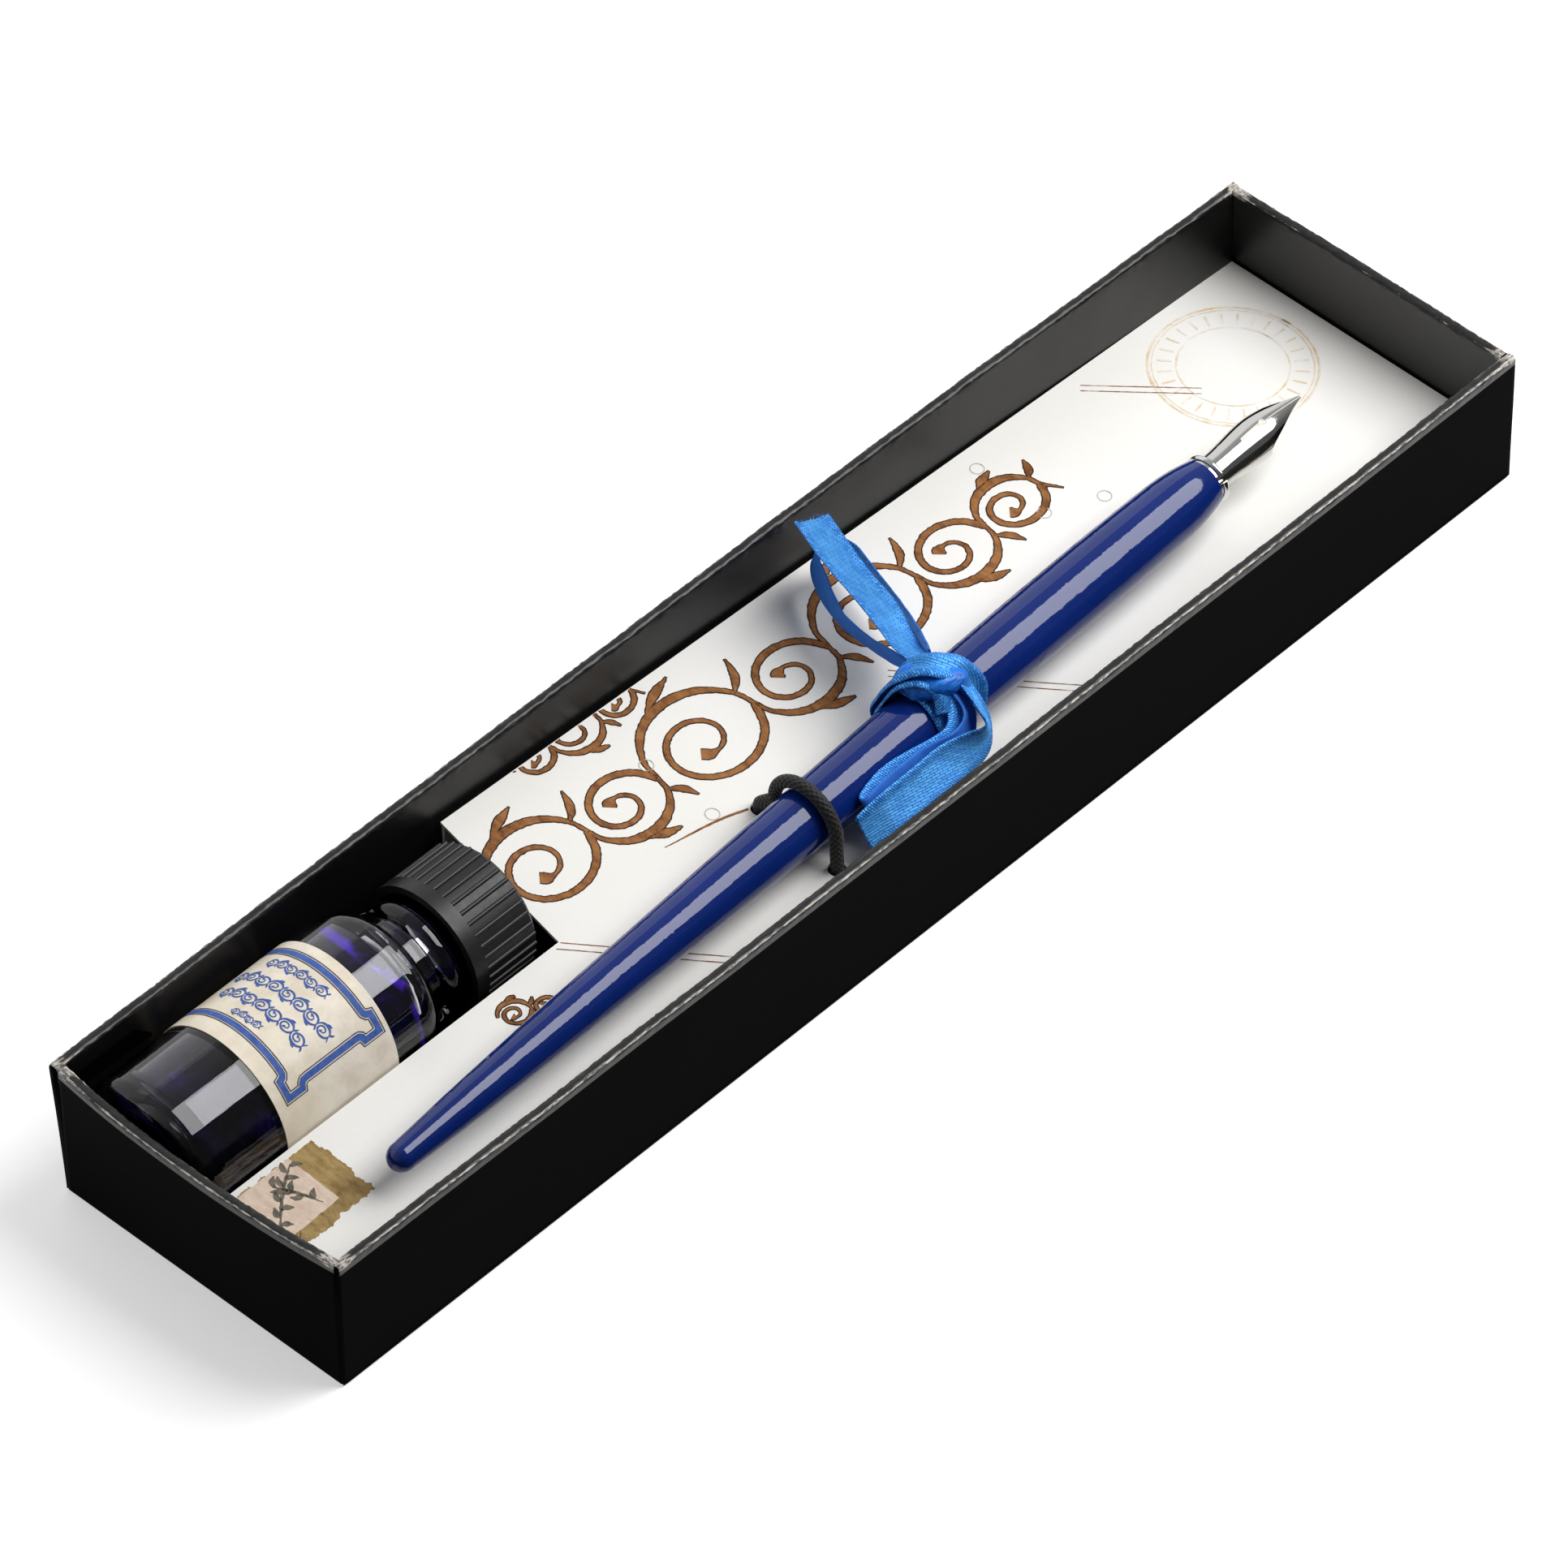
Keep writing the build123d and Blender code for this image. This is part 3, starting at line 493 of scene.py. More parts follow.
def make_wall(name, place_point, length, seed, board):
    """Wall swept along its length. place_point turns (along, depth, height) into a point."""
    profile = wall_profile()
    stations = int(2 * length / WALL_STEP)
    points = []
    wear = []
    for i in range(stations + 1):
        along = -length + 2 * length * i / stations
        corner = exp(-((length - abs(along)) / 3) ** 2)
        for depth, height, rim in profile:
            rough = rim * (0.075 * grain(along * 1.9, depth * 2, height * 2, seed)
                           + 0.05 * grain(along * 6.5, depth * 5, height * 5, seed + 1))
            dip = rim * (0.1 * grain(along * 0.11, 0, 3.3, seed + 2)
                         - 0.16 * max(0, grain(along * 0.45, 0, 9.1, seed + 3) - 0.35))
            bulge = rough * (depth - WALL / 2) * 1.6
            points.append(place_point(along, depth + bulge, height + dip + rough))
            strength = rim_wear(depth, height) * (0.85 + 0.3 * grain(along * 0.35, depth, 0, seed + 4))
            wear.append(min(1, strength + 0.45 * corner * ease(height, TRAY_HEIGHT - 2.2, TRAY_HEIGHT)))
    columns = len(profile)
    faces = capped_tube(stations + 1, columns)
    wall = make_piece(name + "_board", points, faces, board, "tray", replaces=(name,))
    set_values(wall.data, "wear", wear)
    # Outer faces, underside and ends take the darker copy of the board: painted shade.
    wall.data.materials.append(board_painted_shade)
    painted_shade_strips = [c < len(OUTER_HEIGHTS) - 1 or c == columns - 1 for c in range(columns)]
    material_index = [int(flat) for flat in painted_shade_strips] * stations + [1, 1]  # the last two close the ends
    wall.data.polygons.foreach_set("material_index", material_index)


def lean(height):
    """Share of the rim's bow that a height takes."""
    return (height / TRAY_HEIGHT) ** 1.2


def long_wall_point(side):
    """Places the points of the long wall on a side."""
    def point(x, depth, height):
        out = lean(height) * (rim_bow(side, x) + FOOT_IN) - FOOT_IN
        out += 0.1 * grain(x * 0.05, height * 0.1, 0, 20 + side) * lean(height)
        return (x, side * (TRAY_HALF_WIDTH + out - depth), height)
    return point


def short_wall_point(end):
    """Places the points of the short wall at an end."""
    def point(y, depth, height):
        out = lean(height) * end_bow(end, y)
        out += 0.08 * grain(y * 0.09, height * 0.1, 0, 30 + end) * lean(height)
        return (end * (TRAY_HALF_LENGTH + out - depth), y, height)
    return point


def make_tray():
    """The four walls. The short ones' ends lie inside the long ones."""
    make_wall("wall_bottle_side", long_wall_point(1), TRAY_HALF_LENGTH - 0.02, 1, board_long)
    make_wall("wall_pen_side", long_wall_point(-1), TRAY_HALF_LENGTH - 0.02, 2, board_long)
    make_wall("wall_tail_end", short_wall_point(-1), TRAY_HALF_WIDTH - WALL + 0.55, 3, board_end)
    make_wall("wall_nib_end", short_wall_point(1), TRAY_HALF_WIDTH - WALL + 0.05, 4, board_end)


make_tray()


# ---- card insert and its print

card_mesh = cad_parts["insert_card"].data
card_tree = BVHTree.FromPolygons([v.co / MM for v in card_mesh.vertices],
                                 [tuple(p.vertices) for p in card_mesh.polygons])


def lay_on_card(x, y, lift):
    """Point over the card's top face, or None where there is no card."""
    hit = card_tree.ray_cast(Vector((x, y, 30)), Vector((0, 0, -1)), 40)[0]
    return None if hit is None else (x, y, hit.z + lift)


PRINT_STEP = 0.22
THINNEST = 0.05  # width that a stroke keeps at its ends


def make_print(name, strokes, material, lift, grow=0, ripple=0, lay=lay_on_card, body="insert",
               slot="insert_card"):
    """Flat strokes on a surface, each a list of (x, y, width). lift is their height above it."""
    points = []
    faces = []
    for number, stroke in enumerate(strokes):
        path = smooth_path(stroke, PRINT_STEP)
        rows = []
        for i, (x, y, width) in enumerate(path):
            before = path[max(i - 1, 0)]
            after = path[min(i + 1, len(path) - 1)]
            dx, dy = after[0] - before[0], after[1] - before[1]
            size = sqrt(dx * dx + dy * dy) or 1
            nx, ny = -dy / size, dx / size
            half = max(width, THINNEST) / 2 + grow
            left = half + ripple * grain(i * 0.5, 0, 0, number + 0.3)
            right = half + ripple * grain(i * 0.5, 7, 0, number + 0.7)
            pair = lay(x + nx * left, y + ny * left, lift), lay(x - nx * right, y - ny * right, lift)
            if None in pair:
                rows.append(None)
                continue
            rows.append(len(points))
            points += pair
        for first, second in zip(rows, rows[1:]):
            if first is not None and second is not None:
                faces.append((first, first + 1, second + 1, second))
    make_piece(name, points, faces, material, body, smooth=False)


VINE_FLATNESS = 0.86  # height of a wave over half its length
STEM_SHARES = (0.14, 0.32, 0.5, 0.68, 0.86, 1)  # where the stem's points lie along a half wave
SPIRAL_STEPS = 16
# Two leaves outside each crest: root, belly and tip in half waves along and out, and the belly's width.
VINE_LEAVES = [((-0.25, 0.9), (0.1, 1.06), (0.46, 1.16), 1),
               ((0.92, 0.3), (1.16, 0.52), (1.3, 0.84), 0.85)]


def vine(x, y, heading, sizes, weight):
    """Scroll from (x, y): a waving stem, a spiral in each hollow and two leaves outside each crest."""
    stem = [(0, 0, 0.15)]
    strokes = []
    start = 0
    for k, size in enumerate(sizes):
        up = -1 if k % 2 else 1
        reach = size / 2
        middle = start + reach
        for share in STEM_SHARES:
            angle = pi * (1 - share)
            stem.append((middle + reach * cos(angle), up * VINE_FLATNESS * reach * sin(angle),
                         weight * (0.42 + 0.62 * sin(angle) ** 2)))
        spiral = []
        for turn in range(SPIRAL_STEPS + 1):
            share = turn / SPIRAL_STEPS
            angle = -2.75 * pi * share
            radius = reach * (1 - 0.8 * share ** 0.75)
            bud = 0.95 if turn > SPIRAL_STEPS - 2 else 0
            spiral.append((middle - 0.1 * reach * share + radius * cos(angle),
                           up * VINE_FLATNESS * radius * sin(angle), weight * (0.8 - 0.45 * share + bud)))
        strokes.append(spiral)
        for root, belly, tip, width in VINE_LEAVES:
            leaf = zip((root, belly, tip), (0.15, width * weight, 0.12))
            strokes.append([(middle + along * reach, up * out * reach, wide) for (along, out), wide in leaf])
        start += size
    stem.append((start + 0.3 * reach, -0.5 * up * reach, 0.12))
    strokes.append(stem)
    c, s = cos(heading), sin(heading)
    return [[(x + c * along - s * out, y + s * along + c * out, width) for along, out, width in stroke]
            for stroke in strokes]


# Vines of the print: start, heading, the length of each half wave and the width of the stem.
VINES = [(-42, 8.8, radians(1.5), (15, 12, 17, 13, 16, 12, 10), 1.15),
         (-27, 21, 0, (6, 7.5, 6), 0.8),
         (-54.5, -3, radians(-24), (4.2, 3.4), 0.6),
         (64, -20.2, radians(2), (5.5, 6.5, 7.5, 6), 0.85)]
HAIRLINES = [
    [(-78, -17.6, 0.2), (-60, -16.9, 0.5), (-38, -17.3, 0.45), (-22, -15.6, 0.2)],
    [(-22, 1.6, 0.15), (-14, 0.2, 0.34), (-6, -2.2, 0.3), (1, -2.8, 0.12)],
    [(38, -14.6, 0.15), (52, -17.9, 0.32), (64, -18.6, 0.3), (72, -17.4, 0.15)],
]
DOUBLE_RULES = [((-42, -0.2), (-24.5, -19.2)), ((17, 2.6), (33.8, -17)), ((68.5, 19), (78.6, 8.4))]
RULE_GAP = 0.95
# The die-cut rings are drawn in grey, which paints the shade in the cuts.
PINHOLES = [(49.3, 18.2), (57, 4.5), (49.7, 7.6), (-14.6, 11.7), (-14.2, 1.4)]  # small die-cut rings
PINHOLE_RADIUS = 0.88
# The faded round stamp: its middle, the radius and width of its circles, and those of a tick from end to end.
STAMP_MIDDLE = (84.5, 8.6)
STAMP_CIRCLES = [(10.4, 0.34), (9.9, 0.16), (6.9, 0.22)]
STAMP_TICKS = 28
STAMP_TICK = [(7.5, 0.22), (8.9, 0.3), (9.3, 0.22)]
# The torn scrap at the tail end, its pale picture and its sprigs: foot, heading in degrees and length.
SCRAP_CORNERS = [(-96.2, -0.9), (-82.8, -0.8), (-82.2, -10.3), (-96, -10.9)]
PICTURE_CORNERS = [(-96, -1), (-86.6, -0.9), (-86.2, -8.7), (-95.8, -9)]
SPRIGS = ((-94.6, -7.6, 38, 9.6), (-88, -7.9, 118, 6))
LEAF_PITCH = 1.05


def rule_strokes():
    """Pairs of thin parallel lines."""
    strokes = []
    for (x0, y0), (x1, y1) in DOUBLE_RULES:
        size = sqrt((x1 - x0) ** 2 + (y1 - y0) ** 2)
        nx, ny = -(y1 - y0) / size, (x1 - x0) / size
        for shift in (-RULE_GAP / 2, RULE_GAP / 2):
            strokes.append([(x + nx * shift, y + ny * shift, width) for x, y, width in
                            ((x0, y0, 0.14), ((x0 + x1) / 2, (y0 + y1) / 2, 0.17), (x1, y1, 0.14))])
    return strokes


def circle_stroke(x, y, radius, width):
    """Circle that runs a little past its start, so that it closes."""
    count = max(14, int(radius * 6))
    angles = [1.02 * 2 * pi * k / count for k in range(count + 1)]
    return [(x + radius * cos(angle), y + radius * sin(angle), width) for angle in angles]


def stamp_strokes():
    """Circles of the stamp and the ticks between them."""
    x, y = STAMP_MIDDLE
    strokes = [circle_stroke(x, y, radius, width) for radius, width in STAMP_CIRCLES]
    for k in range(STAMP_TICKS):
        c, s = cos(2 * pi * k / STAMP_TICKS), sin(2 * pi * k / STAMP_TICKS)
        strokes.append([(x + radius * c, y + radius * s, width) for radius, width in STAMP_TICK])
    return strokes


def make_patch(name, corners, rough, material, lift):
    """Flat printed patch on the card, its edge torn by as much as rough."""
    outline = [[sum(along) / len(corners) for along in zip(*corners)]]  # its middle first
    for x, y, nx, ny in dense_outline(corners, PRINT_STEP):
        out = rough * (grain(x * 1.1, y * 1.1, 2, 5) + 0.6 * grain(x * 3.3, y * 3.3, 2, 6))
        outline.append((x + out * nx, y + out * ny))
    laid = [lay_on_card(x, y, lift) for x, y in outline]
    points = [spot or (x, y, laid[0][2]) for spot, (x, y) in zip(laid, outline)]
    around = range(1, len(laid))
    faces = [(0, a, b) for a, b in zip(around, [*around[1:], 1]) if laid[a] and laid[b]]
    make_piece(name, points, faces, material, "insert", smooth=False)


def sprig_strokes(x0, y0, degrees, length):
    """Bent stem with leaves on both sides in turn."""
    ahead = radians(degrees)

    def on_stem(share):
        reach = length * share
        return x0 + reach * cos(ahead), y0 + reach * sin(ahead) + 0.5 * sin(3 * share)

    strokes = [[(*on_stem(s), 0.15 + 0.3 * s * (1 - s) * 4) for s in (0, 0.33, 0.66, 1)]]
    count = int(length / LEAF_PITCH)
    for k in range(count):
        x, y = on_stem((k + 0.7) / count)
        turned = ahead + radians(52 if k % 2 else -52)
        strokes.append([(x, y, 0.2), (x + 0.75 * cos(turned), y + 0.75 * sin(turned), 0.8),
                        (x + 1.6 * cos(turned - 0.3), y + 1.6 * sin(turned - 0.3), 0.15)])
    return strokes


def make_card_print():
    """Vines in brown with a dark outline, fine lines, die-cut rings in grey painted shade, a stamp and a
    scrap with sprigs.
    """
    vines = [stroke for values in VINES for stroke in vine(*values)]
    rings = [circle_stroke(x, y, PINHOLE_RADIUS, 0.14) for x, y in PINHOLES]
    sprigs = [stroke for values in SPRIGS for stroke in sprig_strokes(*values)]
    # Each layer's name, strokes, ink, height above the card, and the widening and ripple of its edges.
    for layer in (("print_outline", vines, dark_ink, 0.02, 0.13, 0.1),
                  ("print_fill", vines, brown_ink, 0.034, -0.04, 0.07),
                  ("print_hairlines", HAIRLINES, brown_ink, 0.024, 0, 0.04),
                  ("print_rules", rule_strokes(), thin_ink, 0.024, 0, 0.03),
                  ("die_cut_shade_rings", rings, die_cut_shade, 0.03, 0, 0.03),
                  ("print_ring", stamp_strokes(), ochre_ink, 0.024, 0, 0.08)):
        make_print(*layer)
    make_patch("print_scrap", SCRAP_CORNERS, 0.45, scrap_ink, 0.016)
    make_patch("print_scrap_middle", PICTURE_CORNERS, 0.1, rosy_ink, 0.026)
    make_print("print_sprigs", sprigs, sprig_ink, 0.036, 0, 0.12)


make_card_print()


# ---- ribbon

RIBBON_THICK = 0.22
SELVEDGE_THICK = 0.32
SELVEDGE_WIDTH = 1
PICOT_PITCH = 0.46  # small thread loops along both edges
PICOT_OUT = 0.1
PEN_MIDDLE = (-8.15, 14.4)  # y and z of the pen's axis under the knot
BAND_RADIUS = 4.42
FLAT_WIDTH = 5.6  # width of the ribbon where it lies open
THREAD_STEPS = 6
THREAD_RADIUS = 0.045
FRAYED_THREADS = 12

# Stations along each stretch: x, y, z of its upper edge, then of its lower edge.
RIBBON_EDGES = {
    "tail_left": [
        (12.9, -7.2, 21, 14.6, -7, 20.4), (12.5, -5.2, 21.4, 15.8, -5.2, 19.8),
        (12.6, -2.4, 21.8, 17, -2.6, 19.2), (14.2, 3.6, 22.6, 19.1, 3, 20.4),
        (15.3, 8.3, 23, 20.3, 8.2, 21), (16.6, 13.2, 23.3, 21.7, 12.8, 21.5),
        (18.7, 19, 23.4, 23.8, 18.4, 21.5),
    ],
    "loop_left": [
        (12.8, -6, 20.8, 13.2, -5.4, 19), (12.8, -2.6, 20.8, 14, -1.2, 17),
        (13.3, 1.9, 19.9, 15, 4.4, 15.7), (14.1, 6.4, 19.6, 15.6, 8.3, 15.2),
        (15.8, 9.9, 19.4, 16.8, 12.1, 15), (17.6, 12.9, 19.4, 18.2, 15.2, 15),
        (19.3, 15.7, 19.4, 20.2, 18, 15), (21.2, 17.2, 19.4, 22.2, 18.9, 14.9),
        (23, 16.6, 19.5, 23.9, 17.4, 14.7), (23.6, 14.2, 19.6, 24, 15, 14.7),
        (23, 12, 19.8, 23.3, 12.7, 14.8), (21.6, 8.2, 20, 22.2, 8.8, 15.1),
        (19.8, 2.8, 20.1, 20.8, 3.5, 15.4), (17.8, -1.9, 20.4, 18.6, -1.3, 16.6),
        (15.8, -5.4, 20.8, 16.2, -5, 19.4),
    ],
    "loop_right": [
        (11.4, -7.9, 20.3, 13.2, -8, 20.2), (11.7, -10.2, 19.3, 13.4, -10.6, 19.6),
        (11.5, -12.2, 18.2, 13.4, -12.8, 17.6), (10.4, -13.3, 17.7, 12.6, -14, 15.2),
        (8.4, -13.4, 17.5, 10, -14.7, 13.6), (4.1, -12.6, 17.4, 5.2, -14.8, 12.3),
        (1.7, -12.2, 17.3, 2.6, -14.8, 12.2), (-0.8, -12.2, 17.1, -0.2, -15, 12.2),
        (-3.4, -12.6, 16.7, -3, -15.1, 11.9), (-4.4, -13.1, 16.5, -4.1, -15.5, 11.8),
        (-3.6, -13.6, 16.5, -3.2, -16.1, 11.8), (-0.4, -13.4, 17, 0.3, -16.3, 12.2),
        (5.3, -13.6, 17.5, 6.4, -16.1, 12.7), (9.6, -14.6, 17.7, 11.6, -15.6, 13.6),
        (11.9, -14.4, 18.1, 14.3, -14.2, 15.9), (13, -13.2, 18.9, 15.2, -12.6, 17.6),
        (13.3, -10.2, 20, 15.2, -9.8, 19.8),
    ],
    "tail_right": [
        (13.9, -9, 20.9, 15.6, -9, 20.2), (14.3, -10.9, 20.7, 16.4, -10.8, 19.2),
        (13.9, -13.7, 19.9, 16.5, -12.9, 17.7), (13.6, -15.6, 18.9, 16.6, -14.2, 15.6),
        (13.3, -16.9, 18.3, 15.7, -15.5, 14.1), (12.4, -16.7, 17.9, 14.4, -16.4, 13),
        (10.8, -15.9, 17.8, 12.1, -17, 12.6), (7.2, -15.1, 17.8, 8.2, -17.7, 12.9),
        (2.6, -15.2, 17.8, 3.6, -18, 13.1), (-1.9, -15.2, 17.6, -1.3, -18, 12.9),
        (-4.1, -15.1, 17.3, -3.7, -17.8, 12.6), (-7, -15, 16.6, -6.6, -17.5, 12),
    ],
}
RIBBON_CAMBER = {"tail_left": 0.35, "loop_left": 0.18, "loop_right": 0.3, "tail_right": -0.3}
RIBBON_CUT_END = {"tail_left", "tail_right"}
# Where a stretch shows its back, that face takes the darker back colour, which is partly painted shade.
RIBBON_FACE_IN = {"tail_left", "loop_left"}  # stretches whose satin face is their other side
RIBBON_COLUMNS = 19
RIBBON_STEP = 0.155

# Wraps of the knot: the middle line of each, its width and the number and depth of its lengthwise pleats.
KNOT_WRAPS = {
    "knot_over": ([(10.2, -3.4, 13.4), (9.8, -3.5, 15.6), (9.8, -4.3, 17.6), (10.6, -5.3, 20.2),
                   (12.1, -7, 22), (13.8, -8.8, 22), (15.7, -10.5, 20.8), (16.4, -11.8, 18.4),
                   (16, -12.4, 16)], 4, 1.5, 0.24),
    "knot_under": ([(9.6, -3.9, 13.4), (9.2, -4.1, 15), (9.3, -5.1, 17), (10, -6.2, 19.9),
                    (11.2, -7.9, 21.1), (12.2, -9.6, 20.8), (12.4, -11.1, 19.6), (11.8, -12.1, 18)],
                   3.2, 1, 0.28),
}


def add_thread(points, faces, start, direction, length, curve):
    """Loose thread as a thin three-sided tube. Gives the number of its points."""
    first = len(points)
    side = direction.orthogonal().normalized()
    other = direction.cross(side).normalized()
    for k in range(THREAD_STEPS + 1):
        share = k / THREAD_STEPS
        middle = start + direction * (length * share) + curve * (length * share * share)
        for corner in range(3):
            angle = 2 * pi * corner / 3
            out = side * cos(angle) + other * sin(angle)
            points.append(middle + out * THREAD_RADIUS * (1.1 - share))
    faces += tube_faces(THREAD_STEPS + 1, 3, first)
    return len(points) - first


def wrap_edges(middles, width):
    """Edges of a strip that lies over the pen, from its middle line."""
    middles = [Vector(point) for point in middles]
    edges = []
    for i, middle in enumerate(middles):
        along = heading_at(middles, i)
        out = Vector((0, middle.y - PEN_MIDDLE[0], middle.z - PEN_MIDDLE[1])).normalized()
        across = along.cross(out).normalized() * width / 2
        edges.append((*(middle + across), *(middle - across)))
    return edges


def band_edges():
    """Edges of the turn round the pen, which starts and ends under the knot."""
    edges = []
    for k in range(17):
        angle = radians(70 + 400 * k / 16)
        reach = BAND_RADIUS + 0.25 * k / 16
        y = PEN_MIDDLE[0] + reach * cos(angle)
        z = PEN_MIDDLE[1] + reach * sin(angle)
        edges.append((9.9 + 0.2 * sin(angle), y, z, 14.4 + 0.5 * cos(2 * angle), y, z))
    return edges


def make_ribbon(name, edges, camber, seed, cut_end=False, pleats=0, pleat_depth=0, shiny_side=1,
                replaces=()):
    """Woven ribbon stretch between its edges, with corded selvedges and perhaps a frayed cut end."""
    path = smooth_path(edges, RIBBON_STEP)
    uppers = [Vector(row[:3]) for row in path]
    lowers = [Vector(row[3:]) for row in path]
    middles = [(a + b) / 2 for a, b in zip(uppers, lowers)]
    points = []
    marks = []  # (along, across, selvedge, shiny face) for each point
    run = 0
    for i, (upper, lower) in enumerate(zip(uppers, lowers)):
        if i:
            run += (middles[i] - middles[i - 1]).length
        along = heading_at(middles, i)
        across = lower - upper
        width = across.length
        out = along.cross(across).normalized()
        ripple = PICOT_OUT * (0.5 + 0.5 * cos(2 * pi * run / PICOT_PITCH))
        last = cut_end and i == len(path) - 1
        sheet = []
        for c in range(RIBBON_COLUMNS):
            share = c / (RIBBON_COLUMNS - 1)
            from_edge = min(share, 1 - share) * width
            selvedge = 1 - ease(from_edge, SELVEDGE_WIDTH * 0.6, SELVEDGE_WIDTH * 1.4)
            middle = upper + across * share
            if c in (0, RIBBON_COLUMNS - 1):
                middle += across.normalized() * ripple * (1 if c else -1)
            middle += out * camber * (1 - (2 * share - 1) ** 2) * (width / FLAT_WIDTH)
            middle += out * 0.07 * grain(run * 0.5, share * 2.5, 0, seed)
            swing = 0.25 * grain(run * 0.25, 0, 0, seed + 3)
            middle += out * pleat_depth * sin(2 * pi * (pleats * share + swing))
            if last:
                middle += along * (0.22 * grain(share * 9, 1, 2, seed + 5) + 0.1 * sin(share * 40))
            thick = RIBBON_THICK + (SELVEDGE_THICK - RIBBON_THICK) * selvedge
            if c in (0, RIBBON_COLUMNS - 1):
                thick *= 0.45
            sheet.append((middle, thick, selvedge, share * width))
        for side in (1, -1):
            for middle, thick, selvedge, over in sheet[::side]:
                points.append(middle + side * out * thick / 2)
                marks.append((run, over, selvedge, float(side == shiny_side)))
    columns = 2 * RIBBON_COLUMNS
    faces = tube_faces(len(path), columns)
    for end in (0, len(path) - 1):
        for c in range(RIBBON_COLUMNS - 1):
            a = end * columns + c
            b = end * columns + columns - 1 - c
            faces.append((a, a + 1, b - 1, b) if end else (b, b - 1, a + 1, a))
    if cut_end:
        along = (middles[-1] - middles[-3]).normalized()
        across = lowers[-1] - uppers[-1]
        for k in range(FRAYED_THREADS):
            share = (k + 0.5) / FRAYED_THREADS
            start = uppers[-1] + across * share - along * 0.25
            swerve = across.normalized() * grain(k * 1.7, 0, 0, seed + 7)
            swerve += along.cross(across).normalized() * grain(k * 2.3, 4, 0, seed + 8)
            length = 0.55 + 0.55 * abs(grain(k * 3.1, 9, 0, seed + 9))
            added = add_thread(points, faces, start, along, length, swerve * 1.2)
            marks += [(run, share * FLAT_WIDTH, 1, 1)] * added
    piece = make_piece(name, points, faces, satin, "pen", replaces=replaces)
    mesh = piece.data
    layer = mesh.uv_layers.new(name="UVMap")
    for loop in mesh.loops:
        layer.data[loop.index].uv = marks[loop.vertex_index][:2]
    set_values(mesh, "selvedge", [mark[2] for mark in marks])
    set_values(mesh, "shiny_face", [mark[3] for mark in marks])


def make_bow():
    """The bow's stretches, the wraps over its knot and the band round the pen."""
    for number, (stretch, edges) in enumerate(RIBBON_EDGES.items()):
        make_ribbon("satin_" + stretch, edges, RIBBON_CAMBER[stretch], 40 + number, stretch in RIBBON_CUT_END,
                    shiny_side=-1 if stretch in RIBBON_FACE_IN else 1, replaces=("ribbon_" + stretch,))
    for number, (name, (middles, width, pleats, depth)) in enumerate(KNOT_WRAPS.items()):
        make_ribbon("satin_" + name, wrap_edges(middles, width), 0.25, 50 + number, pleats=pleats,
                    pleat_depth=depth)
    make_ribbon("satin_band", band_edges(), 0, 60, pleats=2, pleat_depth=0.12, replaces=("ribbon_band",))


make_bow()


# ---- elastic

ELASTIC_X = -9.4
ELASTIC_RADIUS = 0.85
# Corners of its middle line as y and z, and the radius of the bend at each corner between the ends.
ELASTIC_PATH = [(-1.7, 9.8), (-1.7, 11.7), (-4.2, 14), (-4.2, 19.35), (-14.1, 19.35), (-14.1, 8.35)]
ELASTIC_BENDS = [0.9, 0.9, 4.94, 4.94]
ELASTIC_STEP = 0.11
AROUND = 48  # points round the elastic
STRANDS = 8  # strands each way
BRAID_PITCH = 7.5  # radians of a strand per millimetre
BRAID_DEPTH = 0.1


def rounded_path(corners, radii, step):
    """Plane path through corners with rounded bends."""
    path = [Vector(corners[0])]
    for before, corner, after, radius in zip(corners, corners[1:], corners[2:], radii):
        before, corner, after = Vector(before), Vector(corner), Vector(after)
        into = (corner - before).normalized()
        out = (after - corner).normalized()
        bend = acos(max(-1, min(1, into.dot(out))))
        reach = radius * sin(bend / 2) / cos(bend / 2)
        turn = 1 if into.x * out.y - into.y * out.x > 0 else -1
        middle = corner - into * reach + Vector((-into.y, into.x)) * turn * radius
        start = atan2(*reversed(corner - into * reach - middle))
        count = max(4, int(radius * bend / step))
        for k in range(count + 1):
            angle = start + turn * bend * k / count
            path.append(middle + Vector((cos(angle), sin(angle))) * radius)
    path.append(Vector(corners[-1]))
    even = [path[0]]
    for a, b in zip(path, path[1:]):
        count = max(1, round((b - a).length / step))
        even += [a.lerp(b, (k + 1) / count) for k in range(count)]
    return even


def make_elastic():
    """Round braided elastic over a rubber core."""
    path = rounded_path(ELASTIC_PATH, ELASTIC_BENDS, ELASTIC_STEP)
    points = []
    run = 0
    for i, middle in enumerate(path):
        run += (middle - path[i - 1]).length if i else 0
        along = heading_at(path, i)
        side = Vector((0, -along.y, along.x))
        for k in range(AROUND):
            angle = 2 * pi * k / AROUND
            strand = max(sin(STRANDS * angle + way * run * BRAID_PITCH) for way in (1, -1))
            radius = ELASTIC_RADIUS + BRAID_DEPTH * (strand - 1)
            out = Vector((1, 0, 0)) * cos(angle) + side * sin(angle)
            points.append(Vector((ELASTIC_X, middle.x, middle.y)) + out * radius)
    faces = capped_tube(len(path), AROUND)
    piece = make_piece("elastic_braid", points, faces, elastic_black, None,
                       replaces=("elastic_loop",))
    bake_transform(piece)


make_elastic()


# ---- the bottle label's print

BOTTLE_MIDDLE = (10.9, 11.15)  # y and z of the bottle's axis
LABEL_RADIUS = 10.62
LABEL_LIFT = 0.045
PLAQUE_X = (-83.3, -68.7)
PLAQUE_ARC = (-13.2, 10.7)  # along the arc, from the bottle's top towards the pen
PLAQUE_CORNER = [(0.85, 3.3), (0.8, 2.8), (0.55, 2.45), (0, 2.25), (0, 0)]  # half of it, inward
PLAQUE_STEP = 0.5
